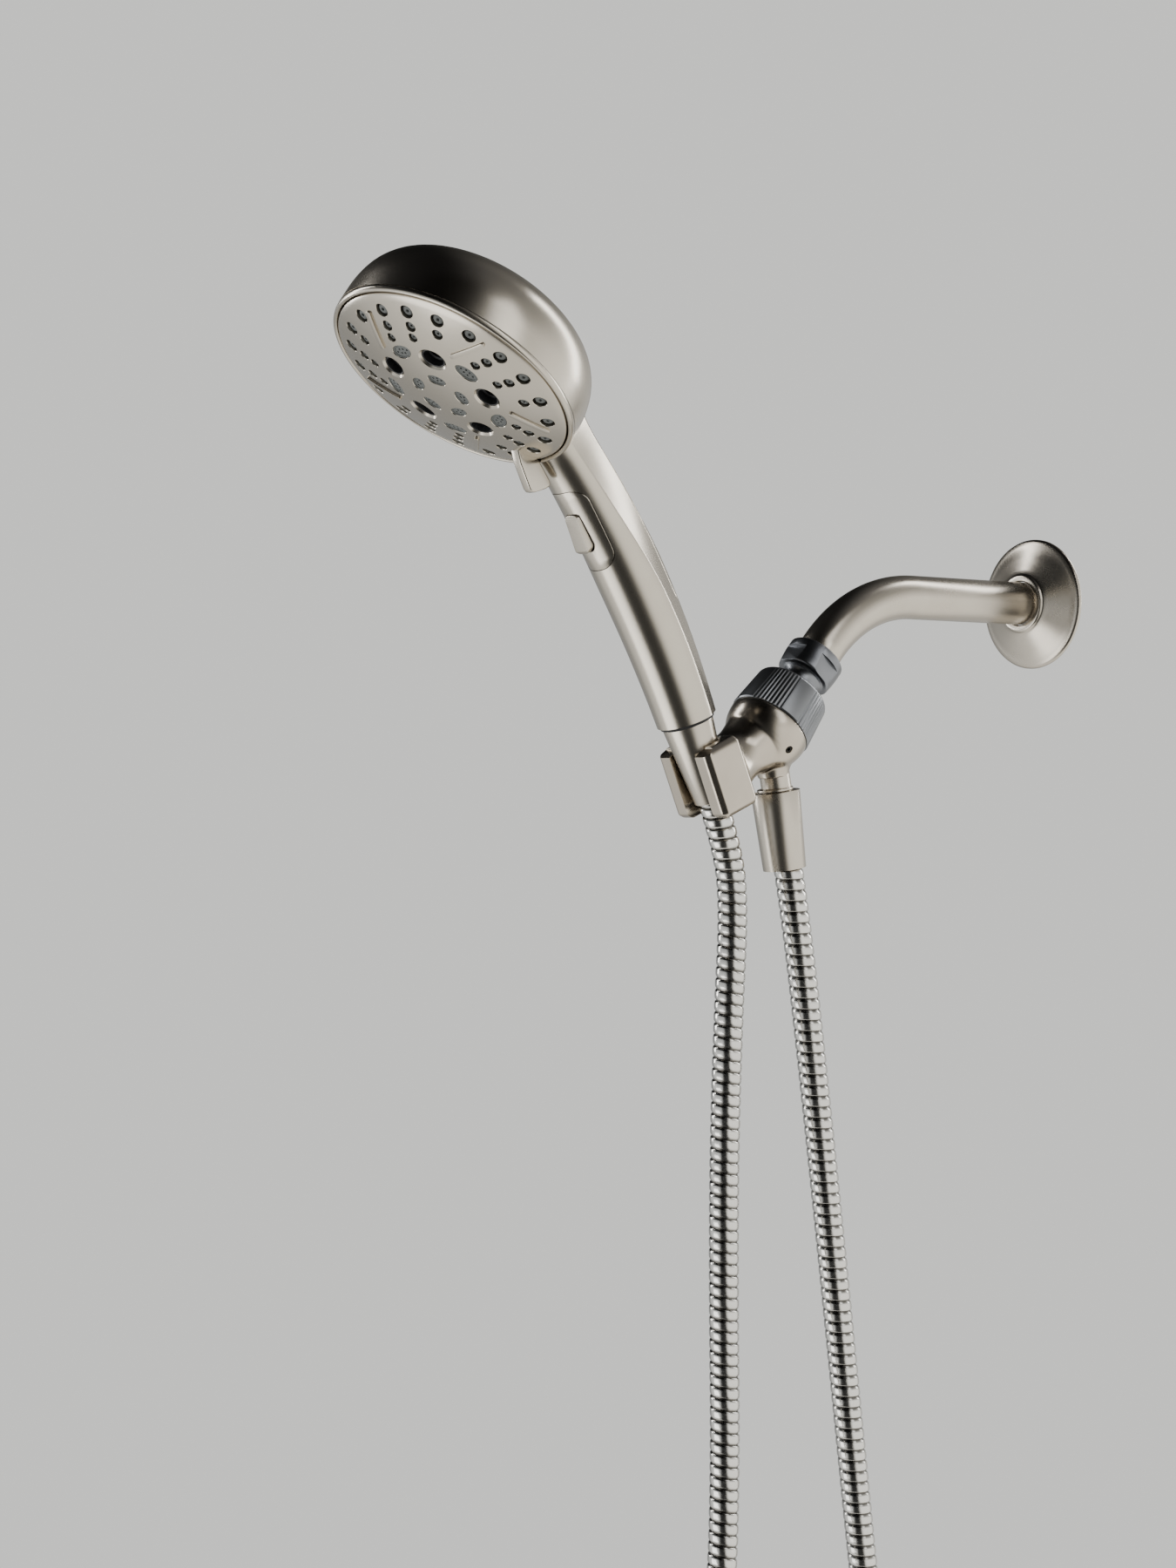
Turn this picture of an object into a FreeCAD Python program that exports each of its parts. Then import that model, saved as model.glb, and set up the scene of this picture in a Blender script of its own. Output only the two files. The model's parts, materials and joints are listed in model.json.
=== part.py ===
import FreeCAD, Part
import Sketcher
import math
import os
from FreeCAD import Placement, Rotation, Vector

# A hand shower with its wall arm.  Millimetres, +Z up.  The wall is the plane Y = 0 and
# the room is on the -Y side.  The origin is the centre of the flange's back face.

doc = FreeCAD.newDocument("HandShower")

# --- driving sizes: one cell each, with the cell's alias as its name -------------------
sizes = {
    # wall flange and arm
    "flange_r": 32.5, "flange_edge_r": 29.5, "flange_edge": 3.2, "flange_cone": 9.3,
    "flange_deep": 11.0, "flange_lip_r": 13.3, "flange_hole_r": 11.2, "flange_wall": 1.6,
    "arm_r": 10.67, "arm_bore_r": 7.9, "arm_thread_r": 10.2, "arm_inlet": 20.0,
    "arm_run": 87.0, "arm_bend": 78.0, "arm_turn": 48.0, "arm_tail": 6.4, "arm_screwed": 11.5,
    # ball joint, measured along its axis from the end of the arm's bend
    "collar_top": 6.5, "collar_r": 14.0, "collar_end": 20.0, "collar_end_r": 13.2,
    "collar_flat": 12.4, "collar_flat_top": 11.0, "socket_r": 10.35, "socket_end": 18.5,
    "neck_top": 24.5, "neck_r": 9.2, "ball_bore_r": 5.0, "ball_at": 41.0, "ball_r": 14.0,
    "ball_cut": 52.0, "gap": 0.3, "liner_r": 15.6, "liner_in_r": 14.3, "seat_r": 15.9,
    "liner_low": 9.0, "liner_high": 28.0, "seal_high": 35.0,
    "nut_top": 29.0, "nut_top_r": 16.2, "nut_round": 2.4, "nut_shoulder_r": 18.6,
    "nut_end": 51.0, "nut_end_r": 20.4, "nut_open_r": 12.7, "nut_thread_r": 17.25,
    "spigot_top": 42.0, "spigot_r": 17.1,
    # bracket housing, cradle and outlet
    "dome_at": 53.0, "dome_r": 20.0, "dome_top": 51.2, "web_r": 12.0,
    "cradle_half": 18.0, "cradle_front": 9.5, "cradle_back": 13.0, "cradle_top": 12.5,
    "cradle_end": 46.5, "cradle_slot": 9.0, "cradle_bevel": 2.5, "cradle_gap": 0.35,
    "water_r": 5.0, "pipe_r": 7.2, "pipe_bore_r": 5.2,
    "pipe_top": 15.0, "pipe_end": 41.0, "thread_top": 30.2, "thread_r": 9.4,
    "ring_r": 8.6, "ring_top": 28.2, "ring_high": 1.5,
    "hosenut_r": 11.6, "hosenut_end_r": 10.2, "hosenut_end": 66.5, "hosenut_bore_r": 9.6,
    "hosenut_step": 47.0, "hosenut_mouth_r": 7.55, "hosenut_flat": 10.6,
    "washer_high": 1.8, "ferrule_head_r": 9.1, "ferrule_r": 7.25, "ferrule_bore_r": 4.6,
    "ferrule_head": 2.2, "hose_from": 64.5, "valve_r": 5.0, "valve_top": 23.5,
    "valve_long": 7.0, "screw_r": 1.6, "screw_long": 5.0,
    # handset base, measured along the cradle's axis from the handle's lower end
    "cone_top": 1.5, "cone_r": 12.1, "cone_end": 40.0, "cone_end_r": 8.4, "cone_bore_r": 9.5,
    "cone_step": 18.4, "stub_r": 9.3, "stub_end": 13.2, "stub_bore_r": 6.0, "stub_flange_r": 12.0,
    "stub_flange": 3.0, "hose_into": 38.3, "gasket_r": 12.8, "screen_r": 5.8, "screen_high": 1.2,
    "regulator_high": 4.0,
    # handle: an arc of sections
    "spine_r": 500.0, "handle_low_r": 14.1, "handle_mid_r": 16.0, "handle_top_r": 14.6,
    "shell_wall": 2.2, "handle_span": 19.5,
    "plate_from": 9.7, "plate_to": 14.2, "plate_half": 11.0, "plate_deep": 1.5,
    "cover_from": 5.5, "cover_to": 16.0, "cover_half": 9.0, "cover_deep": 1.4,
    "tube_r": 5.6, "tube_bore_r": 4.2,
    # head, measured behind the rim plane of the spray face
    "head_r": 58.4, "rim_r": 58.0, "rim_high": 5.0, "rim_in_r": 56.1,
    "face_r": 55.6, "face_dome": 9.5, "face_wall": 2.0, "face_skirt": 4.0,
    "mat_wall": 1.6, "mat_r": 52.0,
    "core_r": 50.0, "core_top": 7.0, "core_high": 3.0, "base_r": 49.0, "base_low": 22.0,
    "base_high": 3.0, "chamber_r": 20.0, "chamber_wall": 1.6, "rotor_hub_r": 6.0,
    "rotor_high": 4.0, "sleeve_r": 3.4, "sleeve_bore_r": 2.1, "boss_ring_r": 40.0, "boss_r": 3.2,
    # hose
    "hose_r": 7.0,
}

sheet = doc.addObject("Spreadsheet::Sheet", "Sizes")
for row, (alias, value) in enumerate(sizes.items(), start=1):
    sheet.set(f"A{row}", str(value))
    sheet.setAlias(f"A{row}", alias)
doc.recompute()


def mm(text):
    """Value of a sum of cells and numbers, such as 'nut_end + gap'."""
    total = 0.0
    sign = 1.0
    for word in text.split():
        if word in ("+", "-"):
            sign = 1.0 if word == "+" else -1.0
        else:
            total += sign * (float(sheet.get(word)) if word in sizes else float(word))
            sign = 1.0
    return total


def bound(text):
    """The same sum as an expression that reads the sheet."""
    return " ".join(f"Sizes.{word}" if word in sizes else word for word in text.split())


# --- local frames --------------------------------------------------------------------
def leaning(base, degrees):
    """A frame at base whose Z axis is world Z turned about X."""
    return Placement(base, Rotation(Vector(1, 0, 0), degrees))


ARM_LEAN = 90.0 + sizes["arm_turn"]
CRADLE_LEAN = 23.0
OUTLET_LEAN = 191.2
FACE_LEAN = 145.0

turn = math.radians(sizes["arm_turn"])
bend_end = Vector(
    0,
    -sizes["arm_run"] - sizes["arm_bend"] * math.sin(turn),
    -sizes["arm_bend"] * (1 - math.cos(turn)),
)
WALL = leaning(Vector(0, 0, 0), 90)
BALL = leaning(bend_end, ARM_LEAN)
DOME_CENTRE = BALL.multVec(Vector(0, 0, sizes["dome_at"]))
OUTLET = leaning(DOME_CENTRE, OUTLET_LEAN)
CRADLE = leaning(Vector(0, -230.5, -61.5), CRADLE_LEAN)
FACE = leaning(Vector(0, -364.0, 83.0), FACE_LEAN)

nodes = []


def keep(obj, label, frame=None):
    """Name a finished sub-part and put its local frame in place."""
    obj.Label = label
    if frame is not None:
        obj.Placement = frame
    nodes.append(obj)
    return obj


# --- small makers --------------------------------------------------------------------
def turned(name, corners):
    """A PartDesign body: a polygon of (radius, height) sums revolved about Z."""
    body = doc.addObject("PartDesign::Body", name)
    planes = {plane.Role: plane for plane in body.Origin.OriginFeatures}
    sketch = body.newObject("Sketcher::SketchObject", name + "Profile")
    sketch.AttachmentSupport = [(planes["XZ_Plane"], "")]
    sketch.MapMode = "FlatFace"
    points = [Vector(mm(across), mm(along), 0) for across, along in corners]
    count = len(points)
    for index in range(count):
        sketch.addGeometry(Part.LineSegment(points[index], points[(index + 1) % count]))
    for index in range(count):
        follower = (index + 1) % count
        sketch.addConstraint(Sketcher.Constraint("Coincident", index, 2, follower, 1))
    for index, (across, along) in enumerate(corners):
        for kind, text, axis in (("DistanceX", across, -2), ("DistanceY", along, -1)):
            if text == "0":
                sketch.addConstraint(Sketcher.Constraint("PointOnObject", index, 1, axis))
                continue
            number = sketch.addConstraint(Sketcher.Constraint(kind, -1, 1, index, 1, mm(text)))
            sketch.setExpression(f"Constraints[{number}]", bound(text))
    spin = body.newObject("PartDesign::Revolution", name + "Turn")
    spin.Profile = sketch
    spin.ReferenceAxis = (sketch, ["V_Axis"])
    spin.Angle = 360.0
    body.Tip = spin
    return body


def ring(name, inner, outer, start, length):
    """A plain washer or sleeve."""
    end = f"{start} + {length}"
    return turned(name, [(inner, start), (outer, start), (outer, end), (inner, end)])


def cylinder(radius, start, length, frame=Placement()):
    rod = doc.addObject("Part::Cylinder", "Rod")
    rod.setExpression("Radius", bound(radius))
    rod.setExpression("Height", bound(length))
    rod.Placement = frame * Placement(Vector(0, 0, mm(start)), Rotation())
    return rod


def cone(radius, end_radius, start, length, frame=Placement()):
    taper = doc.addObject("Part::Cone", "Taper")
    taper.setExpression("Radius1", bound(radius))
    taper.setExpression("Radius2", bound(end_radius))
    taper.setExpression("Height", bound(length))
    taper.Placement = frame * Placement(Vector(0, 0, mm(start)), Rotation())
    return taper


def ball(radius, at, low=-90.0, high=90.0, frame=Placement()):
    globe = doc.addObject("Part::Sphere", "Globe")
    globe.setExpression("Radius", bound(radius))
    globe.Angle1 = low
    globe.Angle2 = high
    globe.Placement = frame * Placement(Vector(0, 0, mm(at)), Rotation())
    return globe


def block(low, high, frame=Placement()):
    """A box between two corners of the local frame."""
    slab = doc.addObject("Part::Box", "Block")
    slab.Length = high[0] - low[0]
    slab.Width = high[1] - low[1]
    slab.Height = high[2] - low[2]
    slab.Placement = frame * Placement(Vector(*low), Rotation())
    return slab


def bend(radius, across, sweep, frame):
    """Part of a torus: radius of the bend, radius of the tube, angle in degrees."""
    loop = doc.addObject("Part::Torus", "Bend")
    loop.setExpression("Radius1", bound(radius))
    loop.setExpression("Radius2", bound(across))
    loop.Angle1 = -180.0
    loop.Angle2 = 180.0
    loop.Angle3 = sweep
    loop.Placement = frame
    return loop


def fused(*shapes):
    whole = doc.addObject("Part::MultiFuse", "Whole")
    whole.Shapes = list(shapes)
    return whole


def cut(base, *tools):
    for tool in tools:
        rest = doc.addObject("Part::Cut", "Rest")
        rest.Base = base
        rest.Tool = tool
        base = rest
    return base


def shaped(label, shape, frame=None):
    """A sub-part whose shape is worked out with Part's own functions."""
    feature = doc.addObject("Part::Feature", label)
    feature.Shape = shape
    return keep(feature, label, frame)


# --- wall side: flange, arm, ball stem --------------------------------------------------
keep(turned("wall_flange", [
    ("flange_r", "0"),
    ("flange_edge_r", "flange_edge"),
    ("flange_lip_r + 1.2", "flange_cone"),
    ("flange_lip_r", "flange_deep"),
    ("flange_hole_r", "flange_deep"),
    ("flange_hole_r", "flange_cone - flange_wall"),
    ("flange_edge_r - 1.0", "flange_wall"),
    ("flange_r - flange_wall", "0"),
]), "wall_flange", WALL)

bend_frame = Placement(
    Vector(0, -sizes["arm_run"], -sizes["arm_bend"]),
    Rotation(Vector(0, 0, 1), Vector(0, -1, 0), Vector(1, 0, 0), "XYZ"),
)
arm_solid = fused(
    cylinder("arm_thread_r", "- arm_inlet", "arm_inlet", WALL),
    cylinder("arm_r", "0", "arm_run", WALL),
    bend("arm_bend", "arm_r", sizes["arm_turn"], bend_frame),
    cylinder("arm_r", "0", "arm_tail", BALL),
    cylinder("arm_thread_r", "0", "arm_tail + arm_screwed", BALL),
)
arm_bore = fused(
    cylinder("arm_bore_r", "- arm_inlet - 1", "arm_run + arm_inlet + 1", WALL),
    bend("arm_bend", "arm_bore_r", sizes["arm_turn"], bend_frame),
    cylinder("arm_bore_r", "0", "arm_tail + arm_screwed + 1", BALL),
)
keep(cut(arm_solid, arm_bore), "shower_arm")

stem = turned("stem", [
    ("ball_bore_r", "socket_end"),
    ("socket_r", "socket_end"),
    ("socket_r", "collar_top"),
    ("collar_r", "collar_top"),
    ("collar_r", "collar_flat_top"),
    ("collar_end_r", "collar_end"),
    ("neck_r + 0.8", "collar_end + 1"),
    ("neck_r", "neck_top"),
    ("neck_r", "ball_at"),
    ("ball_bore_r", "ball_at"),
])
ball_trim = math.degrees(math.asin((sizes["ball_cut"] - sizes["ball_at"]) / sizes["ball_r"]))
ball_blank = fused(stem, ball("ball_r", "ball_at", -90.0, ball_trim))
collar_flats = [
    block(
        (side * mm("collar_flat") - (side < 0) * 9, -20, mm("collar_flat_top")),
        (side * mm("collar_flat") + (side > 0) * 9, 20, mm("collar_end")),
    )
    for side in (-1, 1)
]
ball_bore = cylinder("ball_bore_r", "socket_end - 1", "ball_cut - socket_end + 2")
keep(cut(ball_blank, ball_bore, *collar_flats), "ball_stem", BALL)

keep(ring("inlet_screen", "ball_bore_r - 2.5", "socket_r - 0.1", "collar_top + arm_screwed - 0.05", "0.5"),
     "inlet_screen", BALL)
keep(ring("flow_restrictor", "1.4", "ball_bore_r", "collar_end + 1", "4"), "flow_restrictor", BALL)

# --- ball joint: liner above the ball, seal below it -------------------------------------
keep(cut(
    ball("liner_r", "ball_at", -sizes["liner_high"], -sizes["liner_low"]),
    ball("liner_in_r", "ball_at"),
), "friction_ring", BALL)
keep(cut(
    ball("liner_r", "ball_at", sizes["liner_low"], sizes["seal_high"]),
    ball("liner_in_r", "ball_at"),
), "ball_seal", BALL)

nut_blank = turned("nut_blank", [
    ("nut_open_r", "nut_top"),
    ("nut_top_r", "nut_top"),
    ("nut_top_r + 1.4", "nut_top + 0.7"),
    ("nut_shoulder_r", "nut_top + nut_round"),
    ("nut_end_r", "nut_end"),
    ("nut_open_r", "nut_end"),
])
keep(cut(
    nut_blank,
    ball("seat_r", "ball_at"),
    cylinder("nut_thread_r", "spigot_top - gap", "nut_end - spigot_top + 1"),
), "clamp_nut", BALL)

# --- bracket housing with the cradle -----------------------------------------------------
dome_low = -math.degrees(math.asin((sizes["dome_at"] - sizes["dome_top"]) / sizes["dome_r"]))
cradle_rear = CRADLE.multVec(Vector(0, mm("cradle_back") - 3, -mm("cradle_top + cradle_end") / 2))
web_line = cradle_rear - DOME_CENTRE
web_frame = Placement(DOME_CENTRE, Rotation(Vector(0, 0, 1), web_line))
web = doc.addObject("Part::Cylinder", "Web")
web.setExpression("Radius", bound("web_r"))
web.Height = web_line.Length
web.Placement = web_frame

half = mm("cradle_half")
front = mm("cradle_front")
back = mm("cradle_back")
bevel = mm("cradle_bevel")
outline = [
    (-half, back), (-half, bevel - front), (bevel - half, -front),
    (half - bevel, -front), (half, bevel - front), (half, back),
]
corners = [Vector(x, y, -mm("cradle_end")) for x, y in outline]
cradle_face = Part.Face(Part.makePolygon(corners + corners[:1]))
cradle_block = doc.addObject("Part::Feature", "CradleBlock")
cradle_block.Shape = cradle_face.extrude(Vector(0, 0, mm("cradle_end - cradle_top")))
cradle_block.Placement = CRADLE


def cone_radius(depth):
    """Radius of the cone nut at a depth below its top."""
    share = (depth - mm("cone_top")) / mm("cone_end - cone_top")
    return mm("cone_r") + share * mm("cone_end_r - cone_r")


cradle_bore = doc.addObject("Part::Cone", "CradleBore")
cradle_bore.Radius1 = cone_radius(mm("cradle_end") + 2) + mm("cradle_gap")
cradle_bore.Radius2 = cone_radius(mm("cradle_top") - 2) + mm("cradle_gap")
cradle_bore.Height = mm("cradle_end - cradle_top") + 4
cradle_bore.Placement = CRADLE * Placement(Vector(0, 0, -mm("cradle_end") - 2), Rotation())
slot = mm("cradle_slot")
cradle_mouth = block((-slot, -front - 5, -mm("cradle_end") - 5), (slot, 0, -mm("cradle_top") + 5), CRADLE)

# A small grub screw in the dome's side locks the clamp nut's spigot.
screw_way = Vector(0.855, -0.099, -0.510)
screw_spot = DOME_CENTRE + screw_way * mm("dome_r - screw_long + 0.6")
screw_frame = Placement(screw_spot, Rotation(Vector(0, 0, 1), screw_way))
keep(cylinder("screw_r", "0", "screw_long", screw_frame), "grub_screw")

housing = fused(
    cylinder("spigot_r", "spigot_top", "dome_at - spigot_top", BALL),
    ball("dome_r", "dome_at", dome_low, 90.0, BALL),
    web,
    cradle_block,
)
keep(cut(
    housing,
    ball("seat_r", "ball_at", -90.0, 90.0, BALL),
    cylinder("seat_r", "spigot_top - 1", "1", BALL),
    cylinder("water_r", "0", "pipe_top + 1", OUTLET),
    cylinder("pipe_r", "pipe_top", "pipe_end", OUTLET),
    cradle_bore,
    cradle_mouth,
    cylinder("screw_r", "0", "screw_long + 5", screw_frame),
), "bracket_body")

# --- outlet and its hose nut ---------------------------------------------------------------
keep(turned("outlet_pipe", [
    ("pipe_bore_r", "pipe_top"),
    ("pipe_r", "pipe_top"),
    ("pipe_r", "thread_top"),
    ("thread_r", "thread_top"),
    ("thread_r", "pipe_end"),
    ("pipe_bore_r", "pipe_end"),
]), "outlet_pipe", OUTLET)
keep(ring("outlet_ring", "pipe_r", "ring_r", "ring_top", "ring_high"), "outlet_ring", OUTLET)
keep(turned("check_valve", [
    ("valve_r - 1.6", "valve_top"),
    ("valve_r", "valve_top"),
    ("valve_r", "valve_top + 2.5"),
    ("1.5", "valve_top + valve_long"),
    ("0.7", "valve_top + valve_long"),
    ("valve_r - 1.6", "valve_top + 2.5"),
]), "check_valve", OUTLET)
hosenut = turned("hosenut", [
    ("hosenut_bore_r", "thread_top - 0.4"),
    ("hosenut_r", "thread_top - 0.4"),
    ("hosenut_end_r", "hosenut_end"),
    ("hosenut_mouth_r", "hosenut_end"),
    ("hosenut_mouth_r", "hosenut_step"),
    ("hosenut_bore_r", "hosenut_step"),
])
hosenut_flats = [
    block(
        (side * mm("hosenut_flat") - (side < 0) * 5, -15, mm("thread_top") - 1),
        (side * mm("hosenut_flat") + (side > 0) * 5, 15, mm("hosenut_end") + 1),
    )
    for side in (-1, 1)
]
keep(cut(hosenut, *hosenut_flats), "bracket_hose_nut", OUTLET)
keep(ring("bracket_hose_washer", "pipe_bore_r", "thread_r - 0.1", "pipe_end + 0.05", "washer_high"),
     "bracket_hose_washer", OUTLET)
keep(turned("bracket_ferrule", [
    ("ferrule_bore_r", "pipe_end + washer_high + 0.2"),
    ("ferrule_head_r", "pipe_end + washer_high + 0.2"),
    ("ferrule_head_r", "pipe_end + washer_high + ferrule_head"),
    ("ferrule_r", "pipe_end + washer_high + ferrule_head"),
    ("ferrule_r", "hose_from - 0.1"),
    ("ferrule_bore_r", "hose_from - 0.1"),
]), "bracket_ferrule", OUTLET)

# --- hose end and the cone nut on the handle -------------------------------------------------
keep(turned("hand_ferrule", [
    ("ferrule_bore_r", "- stub_end - 2.5"),
    ("ferrule_head_r", "- stub_end - 2.5"),
    ("ferrule_head_r", "- stub_end - 4.6"),
    ("ferrule_r - 0.05", "- stub_end - 4.6"),
    ("ferrule_r - 0.05", "- hose_into + 0.3"),
    ("ferrule_bore_r", "- hose_into + 0.3"),
]), "hand_ferrule", CRADLE)
keep(turned("cone_nut", [
    ("cone_bore_r", "- cone_top"),
    ("cone_r", "- cone_top"),
    ("cone_end_r", "- cone_end"),
    ("hosenut_mouth_r", "- cone_end"),
    ("hosenut_mouth_r", "- cone_step"),
    ("cone_bore_r", "- cone_step"),
]), "cone_nut", CRADLE)
keep(ring("hand_hose_washer", "ferrule_bore_r + 0.6", "stub_r", "- stub_end - 2.1", "2.0"),
     "hand_hose_washer", CRADLE)
keep(ring("nut_gasket", "stub_r + 0.1", "gasket_r", "- cone_top + 0.05", "1.3"), "nut_gasket", CRADLE)
keep(turned("inlet_stub", [
    ("stub_bore_r", "- stub_end"),
    ("stub_r", "- stub_end"),
    ("stub_r", "0.1"),
    ("stub_flange_r - 0.5", "0.1"),
    ("stub_flange_r - 0.5", "stub_flange"),
    ("stub_bore_r", "stub_flange"),
]), "inlet_stub", CRADLE)
keep(ring("filter_screen", "1.0", "screen_r", "- stub_end + 1", "screen_high"), "filter_screen", CRADLE)
keep(ring("flow_regulator", "1.8", "screen_r", "- stub_end + 3", "regulator_high"),
     "flow_regulator", CRADLE)


# --- handle: sections along an arc of the spine ---------------------------------------------
def spine(degrees):
    """Frame on the handle's centre line, its Z axis along the handle."""
    angle = math.radians(degrees)
    reach = mm("spine_r")
    base = Vector(0, -reach * (1 - math.cos(angle)), reach * math.sin(angle))
    return CRADLE * leaning(base, degrees)


# Angle along the spine and radius of each section of the handle.
handle_sections = [
    (0.0, mm("handle_low_r")), (4.0, 15.3), (8.0, mm("handle_mid_r")), (11.5, 15.4),
    (15.0, mm("handle_top_r")), (mm("handle_span"), 14.0),
]


def handle_loft(inset, extra=0.0):
    """The handle's outer form, drawn in by inset and carried past both ends by extra."""
    wires = []
    last = len(handle_sections) - 1
    for index, (degrees, radius) in enumerate(handle_sections):
        place = spine(degrees + (extra if index == last else 0) - (extra if index == 0 else 0))
        circle = Part.Circle(Vector(0, 0, 0), Vector(0, 0, 1), radius - inset)
        wire = Part.Wire([circle.toShape()])
        wire.Placement = place
        wires.append(wire)
    return Part.makeLoft(wires, True, False)


def revolved(profile):
    """A solid turned about Z from (radius, height) points, in the face's frame."""
    points = [Vector(across, 0, along) for across, along in profile]
    blank = Part.Face(Part.makePolygon(points + points[:1]))
    solid = blank.revolve(Vector(0, 0, 0), Vector(0, 0, 1), 360)
    solid.Placement = FACE
    return solid


def spine_block(low, high, degrees):
    """A box in the frame of the spine at an angle."""
    size = [high[axis] - low[axis] for axis in range(3)]
    slab = Part.makeBox(size[0], size[1], size[2], Vector(*low))
    slab.Placement = spine(degrees)
    return slab


def patch_zone(first, last, half_width, low, high, margin=0.0):
    """The box that bounds a patch of the handle's skin between two spine angles."""
    middle = (first + last) / 2
    reach = mm("spine_r") * math.radians(last - first) / 2 + margin
    return spine_block((-half_width - margin, low, -reach), (half_width + margin, high, reach), middle)


wall = mm("shell_wall")
edge = mm("rim_high") + mm("gap")
head_out = [
    (0, -44.8), (16, -44.3), (30, -42.3), (41, -38.5), (50, -32.5), (55.4, -24.8),
    (57.9, -15.5), (mm("head_r"), -edge), (0, -edge),
]
head_in = [
    (0, -42.6), (15.8, -42.1), (29.3, -40.2), (39.9, -36.6), (48.3, -31), (53.3, -23.9),
    (55.7, -15.1), (mm("rim_in_r"), -edge), (mm("rim_in_r"), 1), (0, 1),
]


def polar(radius, degrees):
    angle = math.radians(degrees)
    return radius * math.cos(angle), radius * math.sin(angle)


boss_spots = [polar(mm("boss_ring_r"), degrees) for degrees in (90, 210, 330)]


def face_rod(radius, low, high, x=0.0, y=0.0):
    """A cylinder parallel to the face's axis."""
    rod = Part.makeCylinder(radius, high - low, Vector(x, y, low))
    rod.Placement = FACE
    return rod


handle_out = handle_loft(0)
handle_in = handle_loft(wall, 0.3)
rim_space = revolved([(0, -edge), (mm("head_r") + 0.6, -edge), (mm("head_r") + 0.6, 12), (0, 12)])
outside = handle_out.cut(rim_space).fuse(revolved(head_out))
inside = handle_in.fuse(revolved(head_in))
shell = outside.cut(inside)
boss_foot = -mm("base_low") - 0.1
bosses = [face_rod(mm("boss_r"), boss_foot - 15, boss_foot, x, y) for x, y in boss_spots]
boss_bores = [face_rod(1.5, boss_foot - 6.1, boss_foot + 0.1, x, y) for x, y in boss_spots]
shell = shell.fuse([boss.common(outside) for boss in bosses]).cut(boss_bores)

plate_from, plate_to, plate_half = mm("plate_from"), mm("plate_to"), mm("plate_half")
cover_from, cover_to, cover_half = mm("cover_from"), mm("cover_to"), mm("cover_half")
plate_skin = handle_out.cut(handle_loft(mm("plate_deep"), 0.3))
cover_skin = handle_out.cut(handle_loft(mm("cover_deep"), 0.3))
plate = plate_skin.common(patch_zone(plate_from, plate_to, plate_half, -26, -7))
cover = cover_skin.common(patch_zone(cover_from, cover_to, cover_half, 7, 26))
plate_bed = handle_loft(-1, 0.3).cut(handle_loft(mm("plate_deep") + 0.05, 0.3))
cover_bed = handle_loft(-1, 0.3).cut(handle_loft(mm("cover_deep") + 0.05, 0.3))
shell = shell.cut(plate_bed.common(patch_zone(plate_from, plate_to, plate_half, -26, -7, 0.15)))
shell = shell.cut(cover_bed.common(patch_zone(cover_from, cover_to, cover_half, 7, 26, 0.15)))

# The pause button rocks on stub axles at its upper end.
BUTTON_AT = 11.9
button_slot = spine_block((-4.9, -26, -10.3), (4.9, -6, 9.5), BUTTON_AT)
axle_bore = Part.makeCylinder(0.98, 12.4, Vector(-6.2, -12.3, 8.1), Vector(1, 0, 0))
axle_bore.Placement = spine(BUTTON_AT)
plate = plate.cut([button_slot, axle_bore])
shell = shell.cut([button_slot, axle_bore])
shaped("handset_shell", shell)
shaped("trim_plate", plate)
shaped("back_cover", cover)

pad_outline = [(-11.5, 9.0), (-15.6, 9.0), (-19.0, -7.6), (-18.4, -9.2), (-11.5, -9.2)]
pad_points = [Vector(-4.5, y, z) for y, z in pad_outline]
pad = Part.Face(Part.makePolygon(pad_points + pad_points[:1])).extrude(Vector(9.0, 0, 0))
axle = Part.makeCylinder(0.9, 12.0, Vector(-6.0, -12.3, 8.1), Vector(1, 0, 0))
shaped("pause_button", pad.fuse(axle), spine(BUTTON_AT))

# Pause valve across the water tube, pushed by a plunger under the button.
def cross_rod(radius, start, length):
    """A cylinder square to the handle, in line with the plunger."""
    return Part.makeCylinder(radius, length, Vector(0, start, -4), Vector(0, 1, 0))


valve_port = Part.makeCylinder(mm("tube_bore_r"), 14.0, Vector(0, 0, -11), Vector(0, 0, 1))
valve_room = cross_rod(4.4, -4.4, 7.0)
valve_body = cross_rod(6.0, -8.4, 14.2).cut([cross_rod(1.9, -11.0, 12.0), valve_room, valve_port])
shaped("valve_body", valve_body, spine(BUTTON_AT))
shaped("valve_plunger", cross_rod(1.5, -11.2, 8.0).fuse(cross_rod(3.6, -3.6, 1.6)), spine(BUTTON_AT))


def tube_piece(label, first, last):
    """A length of the water tube between two spine angles."""
    centre = CRADLE * Placement(Vector(0, -mm("spine_r"), 0), Rotation())
    turned_to = Placement(Vector(0, 0, 0), Rotation(Vector(0, 1, 0), Vector(0, 0, 1), Vector(1, 0, 0), "XYZ"))
    start = Placement(Vector(0, 0, 0), Rotation(Vector(0, 0, 1), first))
    place = centre * turned_to * start
    return keep(cut(
        bend("spine_r", "tube_r", last - first, place),
        bend("spine_r", "tube_bore_r", last - first, place),
    ), label)


tube_piece("water_tube_lower", 0.45, 10.6)
tube_piece("water_tube_upper", 12.2, 16.6)

# --- head: rim, base, spray engine ----------------------------------------------------------
keep(turned("rim_ring", [
    ("rim_in_r", "- rim_high"),
    ("head_r - 0.1", "- rim_high"),
    ("rim_r + 0.1", "- 1.2"),
    ("rim_r - 0.6", "0"),
    ("rim_in_r + 0.4", "0"),
    ("rim_in_r", "- 0.5"),
]), "rim_ring", FACE)


def face_solid(label, solid):
    """Keep a solid that is already modelled in the face's frame."""
    return shaped(label, solid, FACE)


def rod(radius, low, high, x=0.0, y=0.0):
    return Part.makeCylinder(radius, high - low, Vector(x, y, low))


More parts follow.
